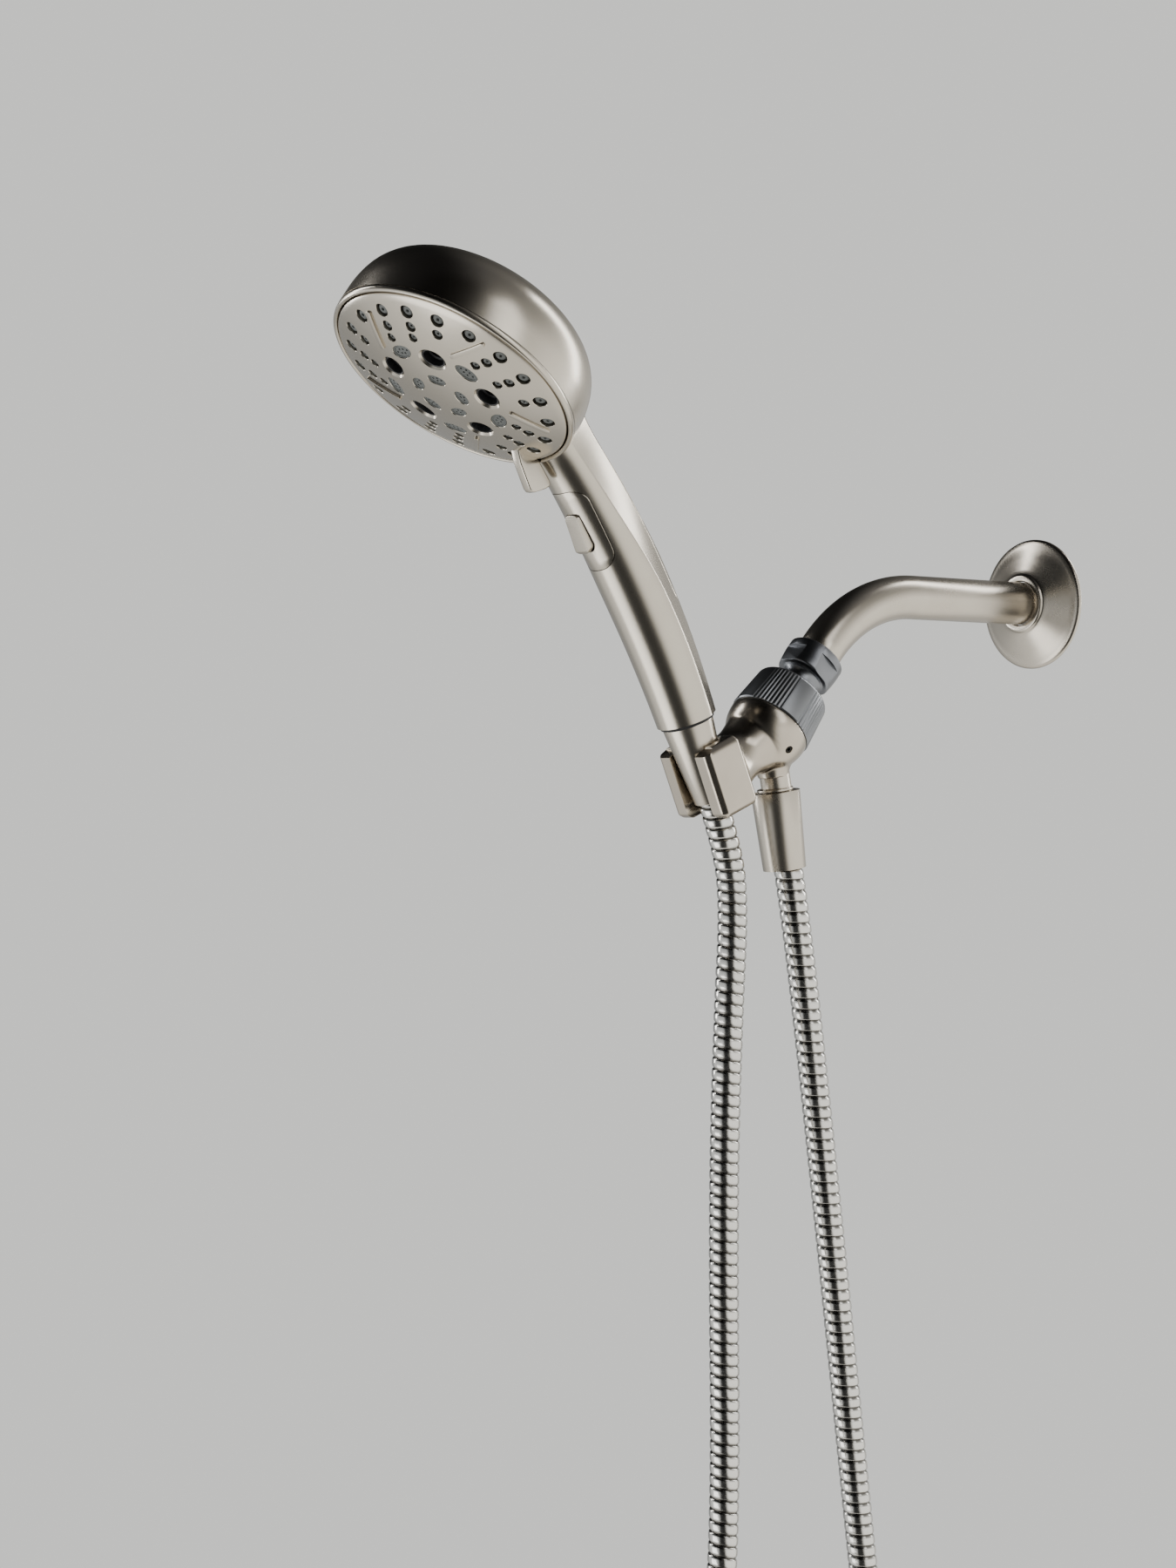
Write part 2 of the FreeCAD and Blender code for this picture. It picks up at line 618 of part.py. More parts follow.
face_r = mm("face_r")
dome_rise = mm("face_dome")
dome_radius = (face_r ** 2 + dome_rise ** 2) / (2 * dome_rise)


def dome(depth):
    """The sphere that lies a depth under the spray face's outer surface."""
    return Part.makeSphere(dome_radius - depth, Vector(0, 0, dome_rise - dome_radius))


# One fifth of the spray pattern: ring radius, angle, hole radius.
SECTORS = [72 * index for index in range(5)]
nozzle_fifth = [
    (48.0, 11.5, 2.7), (48.0, 30.5, 2.7), (48.0, 48.5, 2.7), (48.0, 66.5, 2.7),
    (40.6, 14.0, 2.05), (40.6, 48.0, 2.05), (40.6, 66.8, 2.05),
    (34.8, 17.5, 1.75), (34.8, 68.0, 1.75),
]
nozzle_holes = [(*polar(ring_r, angle + turn_by), hole_r)
                for turn_by in SECTORS for ring_r, angle, hole_r in nozzle_fifth]
jet_holes = [(*polar(24.4, 54 + turn_by), 4.7) for turn_by in SECTORS]
insert_holes = [(*polar(27.0, 18 + turn_by), 3.9) for turn_by in SECTORS]
insert_holes += [(*polar(11.2, 54 + turn_by), 2.9) for turn_by in SECTORS]

face = rod(face_r, -mm("face_skirt"), 15).common(dome(0))
hollow = rod(face_r - mm("face_wall"), -6, 15).common(dome(mm("face_wall")))
face = face.cut(hollow)
face = face.cut([rod(r, -7, 15, x, y) for x, y, r in nozzle_holes + jet_holes + insert_holes])
face_solid("spray_face", face)

mat_top = mm("face_wall") + 0.1
mat_low = mat_top + mm("mat_wall")
mat = rod(mm("mat_r"), -8, 15).common(dome(mat_top)).cut(dome(mat_low))
mat = mat.cut([rod(r + 0.2, -8, 15, x, y) for x, y, r in jet_holes])
tips = [rod(r - 0.3, -8, 15, x, y).common(dome(0.2)).cut(dome(mat_low - 0.5)) for x, y, r in nozzle_holes]
face_solid("nozzle_mat", mat.fuse(tips))
face_solid("spray_inserts", Part.makeCompound(
    [rod(r - 0.1, -8, 15, x, y).common(dome(0.5)).cut(dome(mat_top - 0.05)) for x, y, r in insert_holes]
))

core_top = -mm("core_top")
core_low = core_top - mm("core_high")
cups = [rod(r - 0.1, core_top + 0.05, 15, x, y).common(dome(mat_top - 0.1)).cut(rod(r - 0.9, -20, 20, x, y))
        for x, y, r in jet_holes]
face_solid("jet_cups", Part.makeCompound(cups))
core = rod(mm("core_r"), core_low, core_top).fuse(
    rod(mm("mat_r"), core_low, -5.2).cut(rod(mm("core_r") - 0.5, -20, 5)))
core_ports = [rod(2.6, core_low - 1, core_top + 1, x, y) for x, y, r in jet_holes]
core = core.cut(core_ports + [rod(2.05, -20, 5)])
face_solid("distributor", core)
face_solid("centre_screw", rod(2.0, -24.5, core_top + 0.05).fuse(rod(4.0, core_top + 0.05, core_top + 2.2)))

lever_outline = [
    (-43.5, 3.4), (-59.3, 13.2), (-62.6, 12.6), (-66.4, 7.6), (-67.2, 4.4), (-60.0, 1.0), (-55.0, 0.4),
]
lever_points = [Vector(-2.7, y, z) for y, z in lever_outline]
lever = Part.Face(Part.makePolygon(lever_points + lever_points[:1])).extrude(Vector(5.4, 0, 0))
face_solid("selector_lever", lever.cut(dome(-0.02)))

base_low = -mm("base_low")
base_top = base_low + mm("base_high")
base = rod(mm("base_r") - 0.1, base_low, base_top).cut(
    [rod(3.5, -30, 0)] + [rod(1.6, -30, 0, x, y) for x, y in boss_spots])
inlet_port = rod(4.0, -30, 0, 0, -30)
face_solid("base_plate", base.cut(inlet_port))
base_screw = rod(1.45, -27.8, base_top + 0.02).fuse(rod(2.8, base_top + 0.02, base_top + 1.6))
face_solid("base_screws", Part.makeCompound([base_screw.translated(Vector(x, y, 0)) for x, y in boss_spots]))
face_solid("base_seal", rod(48.6, base_top + 0.05, base_top + 1.6).cut(rod(47.0, -30, 0)))
chamber_r = mm("chamber_r")
chamber = rod(chamber_r, base_top + 0.05, core_low - 0.5).cut(
    [rod(chamber_r - mm("chamber_wall"), base_top + 1.3, 0), rod(3.5, -30, 0)])
face_solid("turbine_chamber", chamber)
sleeve = rod(mm("sleeve_r"), base_low, core_low - 0.5)
face_solid("axle_sleeve", sleeve.cut(rod(mm("sleeve_bore_r"), -30, 0)))
rotor_low = base_top + 2.2
rotor = rod(mm("rotor_hub_r"), rotor_low, rotor_low + mm("rotor_high"))
blade = Part.makeBox(10.0, 1.2, mm("rotor_high"), Vector(5.0, -0.6, rotor_low))
rotor_blades = []
for index in range(8):
    turned_blade = blade.copy()
    turned_blade.rotate(Vector(0, 0, 0), Vector(0, 0, 1), 45 * index)
    rotor_blades.append(turned_blade)
face_solid("turbine_rotor", rotor.fuse(rotor_blades).cut(rod(mm("sleeve_r") + 0.06, -30, 0)))
detent = polar(30.0, 90)
face_solid("detent_spring", rod(1.7, base_top + 0.05, base_top + 5.0, *detent).cut(
    rod(1.1, -30, 0, *detent)))
face_solid("detent_ball", Part.makeSphere(1.8, Vector(*detent, base_top + 6.8)))

# --- hose: a hanging loop from the handset's ferrule to the bracket's -------------------------
hose_route = [
    (0, -215.5, -96.8), (0, -205.3, -120.9), (0, -201.6, -148.0), (0, -204.8, -196.0),
    (0, -207.6, -262.0), (0, -207.9, -330.0), (0, -206.9, -400.0), (0, -209.0, -466.0),
    (0, -220.0, -530.0), (0, -236.0, -590.0), (0, -250.0, -650.0), (0, -257.4, -699.0),
    (0, -249.2, -730.7), (0, -230.8, -755.6), (0, -204.5, -772.0), (0, -174.0, -777.6),
    (0, -143.6, -771.7), (0, -117.5, -755.1), (0, -99.3, -730.0), (0, -91.5, -700.0),
    (0, -97.0, -632.0), (0, -106.8, -550.0), (0, -118.5, -472.0), (0, -129.5, -390.0),
    (0, -141.5, -300.0), (0, -153.6, -214.0), (0, -162.2, -157.5), (0, -167.9, -128.5),
]


def cord_path(points):
    """Straight runs joined by tangent arcs, each as large as its two runs allow."""
    edges = []
    radii = []
    here = points[0]
    for before, corner, after in zip(points, points[1:], points[2:]):
        into = (corner - before).normalize()
        out = (after - corner).normalize()
        shorter = min((corner - before).Length, (after - corner).Length)
        half_turn = into.getAngle(out) / 2
        reach = 0.45 * shorter
        radii.append(reach / math.tan(half_turn))
        start = corner - into * reach
        end = corner + out * reach
        bisector = (out - into).normalize()
        middle = corner + bisector * (radii[-1] / math.cos(half_turn) - radii[-1])
        edges.append(Part.LineSegment(here, start).toShape())
        edges.append(Part.Arc(start, middle, end).toShape())
        here = end
    edges.append(Part.LineSegment(here, points[-1]).toShape())
    return Part.Wire(edges), radii


route = [Vector(*point) for point in hose_route]
path, radii = cord_path(route)
section = Part.Wire([Part.Circle(route[0], route[1] - route[0], mm("hose_r")).toShape()])
hose = path.makePipeShell([section], True, True)
shaped("hose", hose)
print("hose radii mm:", " ".join(f"{radius:.0f}" for radius in radii))
print(f"hose length {path.Length:.0f} mm, volume against section times length",
      round(hose.Volume / (math.pi * mm("hose_r") ** 2 * path.Length), 4))

# --- check and write ---------------------------------------------------------------------------
doc.recompute()
for obj in doc.Objects:
    if "Invalid" in obj.State or "Error" in obj.State:
        raise RuntimeError(f"{obj.Name} failed: {obj.State}")
os.makedirs("parts", exist_ok=True)
for node in nodes:
    if node.Shape.isNull() or not node.Shape.isValid():
        raise RuntimeError(f"{node.Label} has no valid shape")
for node in nodes:
    node.Shape.exportStep(f"parts/{node.Label}.step")
    print(f"{node.Label}: {len(node.Shape.Solids)} solid(s), {node.Shape.Volume / 1000:.2f} cm3")
print(len(nodes), "nodes")
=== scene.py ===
import json
import math
import bpy
from mathutils import Matrix, Vector


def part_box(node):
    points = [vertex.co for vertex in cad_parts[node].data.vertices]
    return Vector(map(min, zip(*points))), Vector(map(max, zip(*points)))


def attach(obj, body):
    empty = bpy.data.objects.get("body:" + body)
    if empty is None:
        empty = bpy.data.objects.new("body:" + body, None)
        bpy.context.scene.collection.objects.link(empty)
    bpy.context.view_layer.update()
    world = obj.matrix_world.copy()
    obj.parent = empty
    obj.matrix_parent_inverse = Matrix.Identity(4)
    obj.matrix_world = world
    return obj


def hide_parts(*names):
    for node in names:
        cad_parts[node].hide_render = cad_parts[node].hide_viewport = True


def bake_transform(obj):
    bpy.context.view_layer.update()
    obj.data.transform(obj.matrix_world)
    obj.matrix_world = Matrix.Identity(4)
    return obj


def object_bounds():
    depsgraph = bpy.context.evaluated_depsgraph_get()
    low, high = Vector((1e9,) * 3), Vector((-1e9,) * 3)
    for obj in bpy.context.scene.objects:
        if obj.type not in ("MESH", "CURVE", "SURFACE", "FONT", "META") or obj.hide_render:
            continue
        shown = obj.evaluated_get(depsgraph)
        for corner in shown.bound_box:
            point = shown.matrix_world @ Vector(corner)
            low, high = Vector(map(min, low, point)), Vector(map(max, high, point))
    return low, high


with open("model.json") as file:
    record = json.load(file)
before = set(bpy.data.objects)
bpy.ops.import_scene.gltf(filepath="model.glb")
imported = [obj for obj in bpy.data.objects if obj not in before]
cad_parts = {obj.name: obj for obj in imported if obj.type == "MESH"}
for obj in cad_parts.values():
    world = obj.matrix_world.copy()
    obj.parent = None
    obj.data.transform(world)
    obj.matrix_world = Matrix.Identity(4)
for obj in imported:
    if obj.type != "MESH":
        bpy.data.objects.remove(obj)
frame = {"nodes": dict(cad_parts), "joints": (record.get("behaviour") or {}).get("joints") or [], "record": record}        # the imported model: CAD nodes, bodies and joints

for starter in ("Cube", "Light", "Camera"):
    if starter in bpy.data.objects:
        bpy.data.objects.remove(bpy.data.objects[starter])
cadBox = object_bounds()        # before any new piece is made
print("frame loaded:", len(frame["nodes"]), "CAD nodes")

# Lengths are millimetres in a local frame until a piece is put in place.
milli = 0.001
weld = 0.004        # points closer than this are one point
jointOf = {joint["name"]: joint for joint in frame["joints"]}
mountOf = {mount["name"]: mount for mount in frame["record"]["mounts"]}


# local frames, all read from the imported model

def frameAt(place, along):
    # Z runs along a direction that has no X part, and X stays the world's X
    zAxis = Vector(along).normalized()
    xAxis = Vector((1, 0, 0))
    rows = Matrix((xAxis, zAxis.cross(xAxis), zAxis)).transposed().to_4x4()
    rows.translation = Vector(place)
    return rows


def boxCentre(node):
    low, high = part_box(node)
    return (low + high) / 2


layout = {"ballFromArm": 41.0, "domeFromBall": 12.0, "spineRadius": 500.0}
swivel = jointOf["ball_swivel"]
ballDown = Vector(swivel["axis"])
armEnd = Vector(swivel["pos_m"]) - ballDown * layout["ballFromArm"] * milli
domeCentre = Vector(swivel["pos_m"]) + ballDown * layout["domeFromBall"] * milli
outletDown = boxCentre("bracket_hose_nut") - boxCentre("outlet_ring")

wallFrame = frameAt(mountOf["wall_inlet"]["pos_m"], -Vector(mountOf["wall_inlet"]["axis"]))
ballFrame = frameAt(armEnd, ballDown)
outletFrame = frameAt(domeCentre, outletDown)
cradleFrame = frameAt(jointOf["handset_turn"]["pos_m"], jointOf["handset_turn"]["axis"])
faceFrame = frameAt(jointOf["spray_select"]["pos_m"], jointOf["spray_select"]["axis"])


def spineFrame(degrees):
    # on the handle's centre line, which is an arc that leans away from the cradle
    angle = math.radians(degrees)
    reach = layout["spineRadius"] * milli
    place = Vector((0, -reach * (1 - math.cos(angle)), reach * math.sin(angle)))
    return cradleFrame @ Matrix.Translation(place) @ Matrix.Rotation(angle, 4, "X")


# modelling helpers

def editAll():
    bpy.ops.object.mode_set(mode="EDIT")
    bpy.ops.mesh.select_all(action="SELECT")


def leaveEdit():
    bpy.ops.object.mode_set(mode="OBJECT")


def select(*pieces):
    if bpy.context.mode != "OBJECT":
        leaveEdit()
    bpy.ops.object.select_all(action="DESELECT")
    for piece in pieces:
        piece.select_set(True)
    if pieces:
        bpy.context.view_layer.objects.active = pieces[0]


def called(name):
    piece = bpy.context.object
    piece.name = name
    piece.data.name = name
    return piece


def settle():
    # moves a primitive's place and size into its mesh
    bpy.ops.object.transform_apply(location=True, rotation=True, scale=True)


def modify(piece, kind, **settings):
    modifier = piece.modifiers.new(kind.lower(), kind)
    for key, value in settings.items():
        setattr(modifier, key, value)
    select(piece)
    bpy.ops.object.modifier_apply(modifier=modifier.name)


def soften(piece, width, segments=2, degrees=28):
    modify(piece, "BEVEL", width=width, segments=segments, limit_method="ANGLE",
           angle_limit=math.radians(degrees), use_clamp_overlap=True)


def merge(piece):
    select(piece)
    editAll()
    bpy.ops.mesh.remove_doubles(threshold=weld)
    bpy.ops.mesh.normals_make_consistent(inside=False)
    leaveEdit()


def lathe(name, profile, around=96):
    # a circle drawn through each (radius, height), ending where it began or on the axis
    speck = weld / 4
    radius, height = profile[0]
    select()
    bpy.ops.mesh.primitive_circle_add(vertices=around, radius=max(radius, speck), location=(0, 0, height))
    piece = called(name)
    editAll()
    for nextRadius, nextHeight in profile[1:]:
        rise = (0, 0, nextHeight - height)
        grow = max(nextRadius, speck) / max(radius, speck)
        bpy.ops.mesh.extrude_region_move(TRANSFORM_OT_translate={"value": rise})
        bpy.ops.transform.resize(value=(grow, grow, 1), center_override=(0, 0, nextHeight))
        radius, height = nextRadius, nextHeight
    leaveEdit()
    settle()
    merge(piece)
    return piece


def arc(acrossCentre, alongCentre, radius, first, last, count=8):
    # points of a round stretch of a profile, angles in degrees from the outward direction
    steps = [math.radians(first + (last - first) * step / count) for step in range(count + 1)]
    return [(acrossCentre + radius * math.cos(a), alongCentre + radius * math.sin(a)) for a in steps]


def block(name, low, high, corner=0.0, segments=3):
    size = [high[axis] - low[axis] for axis in range(3)]
    middle = [(high[axis] + low[axis]) / 2 for axis in range(3)]
    select()
    bpy.ops.mesh.primitive_cube_add(size=1, location=middle, scale=size)
    piece = called(name)
    settle()
    if corner:
        editAll()
        bpy.ops.mesh.bevel(offset=corner, segments=segments, affect="EDGES")
        leaveEdit()
    return piece


def plank(name, outline, low, high):
    # an outline in the YZ plane drawn out along X
    select()
    bpy.ops.mesh.primitive_circle_add(vertices=len(outline), radius=1, fill_type="NGON")
    piece = called(name)
    for point, (across, along) in zip(piece.data.vertices, outline):
        point.co = (low, across, along)
    editAll()
    bpy.ops.mesh.extrude_region_move(TRANSFORM_OT_translate={"value": (high - low, 0, 0)})
    leaveEdit()
    merge(piece)
    return piece


def flowing(points, steps=5):
    # a smooth line through the points
    padded = [points[0], *points, points[-1]]
    line = []
    for before, first, last, after in zip(padded, padded[1:], padded[2:], padded[3:]):
        for step in range(steps):
            share = step / steps
            line.append(tuple(
                0.5 * (2 * b + (c - a) * share + (2 * a - 5 * b + 4 * c - d) * share ** 2
                       + (3 * b - a - 3 * c + d) * share ** 3)
                for a, b, c, d in zip(before, first, last, after)))
    return line + [points[-1]]


def rounded(halfWide, low, high, corner, steps=6):
    # a rectangle's outline with round corners
    corners = [(halfWide - corner, high - corner, 0), (corner - halfWide, high - corner, 90),
               (corner - halfWide, low + corner, 180), (halfWide - corner, low + corner, 270)]
    return [point for x, z, first in corners for point in arc(x, z, corner, first, first + 90, steps)]


def slab(name, outline, low, high):
    # an outline in the XZ plane drawn out along Y
    piece = plank(name, outline, low, high)
    piece.data.transform(Matrix(((0, 1, 0, 0), (1, 0, 0, 0), (0, 0, 1, 0), (0, 0, 0, 1))))
    merge(piece)
    return piece


def copyOf(piece, name):
    select(piece)
    bpy.ops.object.duplicate()
    return called(name)


def joined(name, pieces):
    select(*pieces)
    bpy.ops.object.join()
    return called(name)


def combine(piece, cutter, operation="DIFFERENCE"):
    modify(piece, "BOOLEAN", operation=operation, object=cutter, solver="EXACT")
    bpy.data.objects.remove(cutter)


def carve(piece, *cutters):
    for cutter in cutters:
        combine(piece, cutter)


def turnTo(way):
    # turns Z to another direction
    return Vector((0, 0, 1)).rotation_difference(way).to_matrix().to_4x4()


def cutFlats(piece, across, distance, deep, half, low, high):
    # a pair of parallel flats, with X or Y across them
    for side in (-1, 1):
        near, far = sorted((side * distance, side * (distance + deep)))
        first, last = ((near, -half), (far, half)) if across == "X" else ((-half, near), (half, far))
        carve(piece, block("flat", (*first, low), (*last, high)))


def shiftTo(piece, place):
    # moves a mesh that is in millimetres from one local frame to another
    piece.data.transform(place)


def relative(place, home):
    # millimetre matrix from one local frame to another
    shrink = Matrix.Scale(milli, 4)
    return shrink.inverted() @ home.inverted() @ place @ shrink


def finish(piece, place, body, material, crease=32.0, replaces=()):
    # millimetres to metres, smooth shading, finish and the body that it moves with
    select(piece)
    piece.matrix_world = place @ Matrix.Scale(milli, 4)
    settle()
    bpy.ops.object.shade_smooth_by_angle(angle=math.radians(crease))
    piece.data.materials.clear()
    piece.data.materials.append(material)
    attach(piece, body)
    if replaces:
        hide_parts(*replaces)


# materials

def srgb(text):
    # a hex colour as linear values with alpha
    parts = [int(text[index:index + 2], 16) / 255 for index in (1, 3, 5)]
    return [p / 12.92 if p <= 0.04045 else ((p + 0.055) / 1.055) ** 2.4 for p in parts] + [1.0]


def addNode(tree, kind, values=None, links=None, **settings):
    made = tree.nodes.new("ShaderNode" + kind)
    for name, value in settings.items():
        setattr(made, name, value)
    for name, value in (values or {}).items():
        made.inputs[name].default_value = value
    for name, source in (links or {}).items():
        tree.links.new(source, made.inputs[name])
    return made


def newMaterial(name):
    material = bpy.data.materials.new(name)
    material.use_nodes = True
    return material, material.node_tree, material.node_tree.nodes["Principled BSDF"]


def surface(name, colour, darker, rough, glossy, grain, grainMm=0.5, patchMm=18.0, bump=0.02, metal=1.0,
            stretch=(1, 1, 1), **shader):
    # colour drifts to the darker one in patches, and grain breaks up the gloss and the height
    material, tree, bsdf = newMaterial(name)
    place = addNode(tree, "TexCoord").outputs["Object"]
    drawn = addNode(tree, "Mapping", {"Scale": stretch}, {"Vector": place}).outputs["Vector"]
    patches = addNode(tree, "TexNoise", {"Scale": 1 / (patchMm * milli), "Detail": 3.0}, {"Vector": place})
    fine = addNode(tree, "TexNoise", {"Scale": 1 / (grainMm * milli), "Detail": 2.0}, {"Vector": drawn})
    tint = addNode(tree, "Mix", data_type="RGBA")
    tint.inputs[6].default_value = srgb(colour)
    tint.inputs[7].default_value = srgb(darker)
    tree.links.new(patches.outputs["Fac"], tint.inputs[0])
    tree.links.new(tint.outputs[2], bsdf.inputs["Base Color"])
    both = addNode(tree, "Math", {1: grain}, {0: fine.outputs["Fac"], 2: patches.outputs["Fac"]},
                   operation="MULTIPLY_ADD")
    gloss = addNode(tree, "MapRange", {"From Min": 0.3, "From Max": 0.7 + grain, "To Min": glossy,
                                       "To Max": rough}, {"Value": both.outputs[0]})
    tree.links.new(gloss.outputs[0], bsdf.inputs["Roughness"])
    relief = addNode(tree, "Bump", {"Strength": 0.35, "Distance": bump * milli},
                     {"Height": fine.outputs["Fac"]})
    tree.links.new(relief.outputs["Normal"], bsdf.inputs["Normal"])
    bsdf.inputs["Metallic"].default_value = metal
    for key, value in shader.items():
        bsdf.inputs[key.replace("_", " ")].default_value = value
    return material


# Satin nickel plate on brass: warm grey, its gloss spread out by a brushed and lacquered finish.
satinNickel = surface("satinNickelOnBrass", "#C0B9AD", "#B6AEA1", 0.29, 0.24, 0.4, grainMm=0.6, bump=0.003,
                      Anisotropic=0.25)
# The same plate on moulded ABS, a little smoother, so highlights have softer grain.
satinShell = surface("satinNickelOnABS", "#BFB8AC", "#B7B0A3", 0.26, 0.24, 0.3, grainMm=0.5, bump=0.0008)
# Zinc cast housing under satin plate: faint casting ripple shows as uneven highlights.
castNickel = surface("satinNickelOnZinc", "#BCB4A7", "#ADA496", 0.27, 0.21, 0.3, grainMm=1.4, bump=0.006)
# Black nickel plate on turned brass: dark blue grey with a dull sheen.
blackNickel = surface("blackNickelOnBrass", "#808286", "#737579", 0.34, 0.27, 0.3, grainMm=0.5, bump=0.004)
# Plated and tinted ABS of the clamp nut: dark grey, matt from its fine moulded grain.
darkNut = surface("darkPlatedABS", "#85878A", "#787A7D", 0.36, 0.29, 0.5, grainMm=0.4, bump=0.008)
# Liquid silicone of the nozzles: mid grey, soft sheen, faint mould grain.
greySilicone = surface("greySilicone", "#7F8280", "#6F7270", 0.60, 0.48, 0.6, grainMm=0.4, bump=0.015,
                       metal=0.0, IOR=1.43, Specular_IOR_Level=0.45)
# Black moulded ABS inside the jets and behind the face.
blackABS = surface("blackMouldedABS", "#232426", "#1B1C1E", 0.50, 0.40, 0.5, grainMm=0.5, bump=0.010,
                   metal=0.0, IOR=1.53)
# Nitrile rubber of washers and seals: deep black and matt.
nitrile = surface("nitrileRubber", "#1D1D1E", "#262627", 0.78, 0.64, 0.5, grainMm=0.4, bump=0.02,
                  metal=0.0, IOR=1.52)
# Acetal of the moving water parts: milky white with a waxy gloss.
acetal = surface("whiteAcetal", "#E9E7E0", "#DDDAD2", 0.42, 0.30, 0.3, grainMm=0.7, bump=0.006,
                 metal=0.0, IOR=1.48, Subsurface_Weight=0.08, Subsurface_Scale=0.002)
# Bare turned brass inside the joints, with drawn tool lines.
brass = surface("turnedBrass", "#D6B26A", "#C49A50", 0.36, 0.24, 0.5, grainMm=0.7, bump=0.01,
                stretch=(1, 1, 6))
# Stainless wire, screens and screws: cool grey with fine drawing lines.
stainless = surface("drawnStainless", "#B9BBBD", "#A6A8AA", 0.34, 0.22, 0.5, grainMm=0.5, bump=0.006,
                    stretch=(1, 1, 5))
# Blackened steel grub screw.
blackSteel = surface("blackenedSteel", "#3A3936", "#2C2B29", 0.52, 0.40, 0.4, grainMm=0.4, bump=0.01)


def hoseSteel():
    # Bright rolled stainless strip wound into an interlocked hose, darker in the grooves with dirt and
    # painted shade.
    material, tree, bsdf = newMaterial("rolledStainlessStrip")
    depth = addNode(tree, "Attribute", attribute_name="groove").outputs["Fac"]
    place = addNode(tree, "TexCoord").outputs["Object"]
    scratch = addNode(tree, "TexNoise", {"Scale": 900.0, "Detail": 2.0}, {"Vector": place})
    tint = addNode(tree, "Mix", data_type="RGBA")
    # the darker colour, mixed in by the groove value, is dirt and painted shade in the grooves
    tint.inputs[6].default_value = srgb("#CFCDC8")
    tint.inputs[7].default_value = srgb("#55524D")
    tree.links.new(depth, tint.inputs[0])
    tree.links.new(tint.outputs[2], bsdf.inputs["Base Color"])
    worn = addNode(tree, "Math", {1: 0.3}, {0: depth, 2: scratch.outputs["Fac"]}, operation="MULTIPLY_ADD")
    gloss = addNode(tree, "MapRange", {"From Min": 0.35, "From Max": 0.95, "To Min": 0.12, "To Max": 0.34},
                    {"Value": worn.outputs[0]})
    tree.links.new(gloss.outputs[0], bsdf.inputs["Roughness"])
    bsdf.inputs["Metallic"].default_value = 1.0
    return material


rolledSteel = hoseSteel()
print("materials ready")


# camera, at the viewing angle of someone standing to the right of the shower
view = {"lens": 72.21, "sensor": 36.0, "place": (1.0964, -1.1673, -0.0986), "turn": (90.29, 0.0, 51.28)}
bpy.ops.object.camera_add(location=view["place"], rotation=[math.radians(a) for a in view["turn"]])
camera = bpy.context.object
camera.data.lens = view["lens"]
camera.data.sensor_width = view["sensor"]
bpy.context.scene.camera = camera


# hose: an interlocked steel spiral that hangs in a loop
hose = {
    "across": 14.0, "pitch": 5.2, "around": 28, "length": 1.433,
    # height along one turn of strip, depth below the crown and how dark it is painted there, for dirt and
    # painted shade in the grooves
    "strip": [(0.0, 0.80, 1.0), (0.05, 0.32, 0.3), (0.13, 0.09, 0.0), (0.26, 0.0, 0.0),
              (0.48, 0.0, 0.0), (0.66, 0.07, 0.0), (0.79, 0.22, 0.1), (0.89, 0.70, 0.8)],
    # where the loop passes between the cradle's strand and the outlet's, in Y and Z
    "route": [
        (-0.2155, -0.0968), (-0.2053, -0.1209), (-0.2016, -0.1480), (-0.2048, -0.1960),
        (-0.2076, -0.2620), (-0.2079, -0.3300), (-0.2069, -0.4000), (-0.2090, -0.4660),
        (-0.2200, -0.5300), (-0.2360, -0.5900), (-0.2500, -0.6500), (-0.2574, -0.6990),
        (-0.2492, -0.7307), (-0.2308, -0.7556), (-0.2045, -0.7720), (-0.1740, -0.7776),
        (-0.1436, -0.7717), (-0.1175, -0.7551), (-0.0993, -0.7300), (-0.0915, -0.7000),
        (-0.0970, -0.6320), (-0.1068, -0.5500), (-0.1185, -0.4720), (-0.1295, -0.3900),
        (-0.1415, -0.3000), (-0.1536, -0.2140), (-0.1622, -0.1575), (-0.1679, -0.1285),
    ],
}


def routeLine(route):
    # one smooth spline with the route's points as its control points
    data = bpy.data.curves.new("hoseRoute", "CURVE")
    data.dimensions = "3D"
    data.resolution_u = 40
    spline = data.splines.new("NURBS")
    spline.points.add(len(route) - 1)
    for point, (y, z) in zip(spline.points, route):
        point.co = (0, y, z, 1)
    spline.order_u = 3
    spline.use_endpoint_u = True
    guide = bpy.data.objects.new("hoseRoute", data)
    bpy.context.scene.collection.objects.link(guide)
    mesh = bpy.data.meshes.new_from_object(guide)
    line = [vertex.co.copy() for vertex in mesh.vertices]
    bpy.data.objects.remove(guide)
    bpy.data.meshes.remove(mesh)
    return line


def along(line):
    # length of the line up to each of its points
    lengths = [0.0]
    for before, after in zip(line, line[1:]):
        lengths.append(lengths[-1] + (after - before).length)
    return lengths


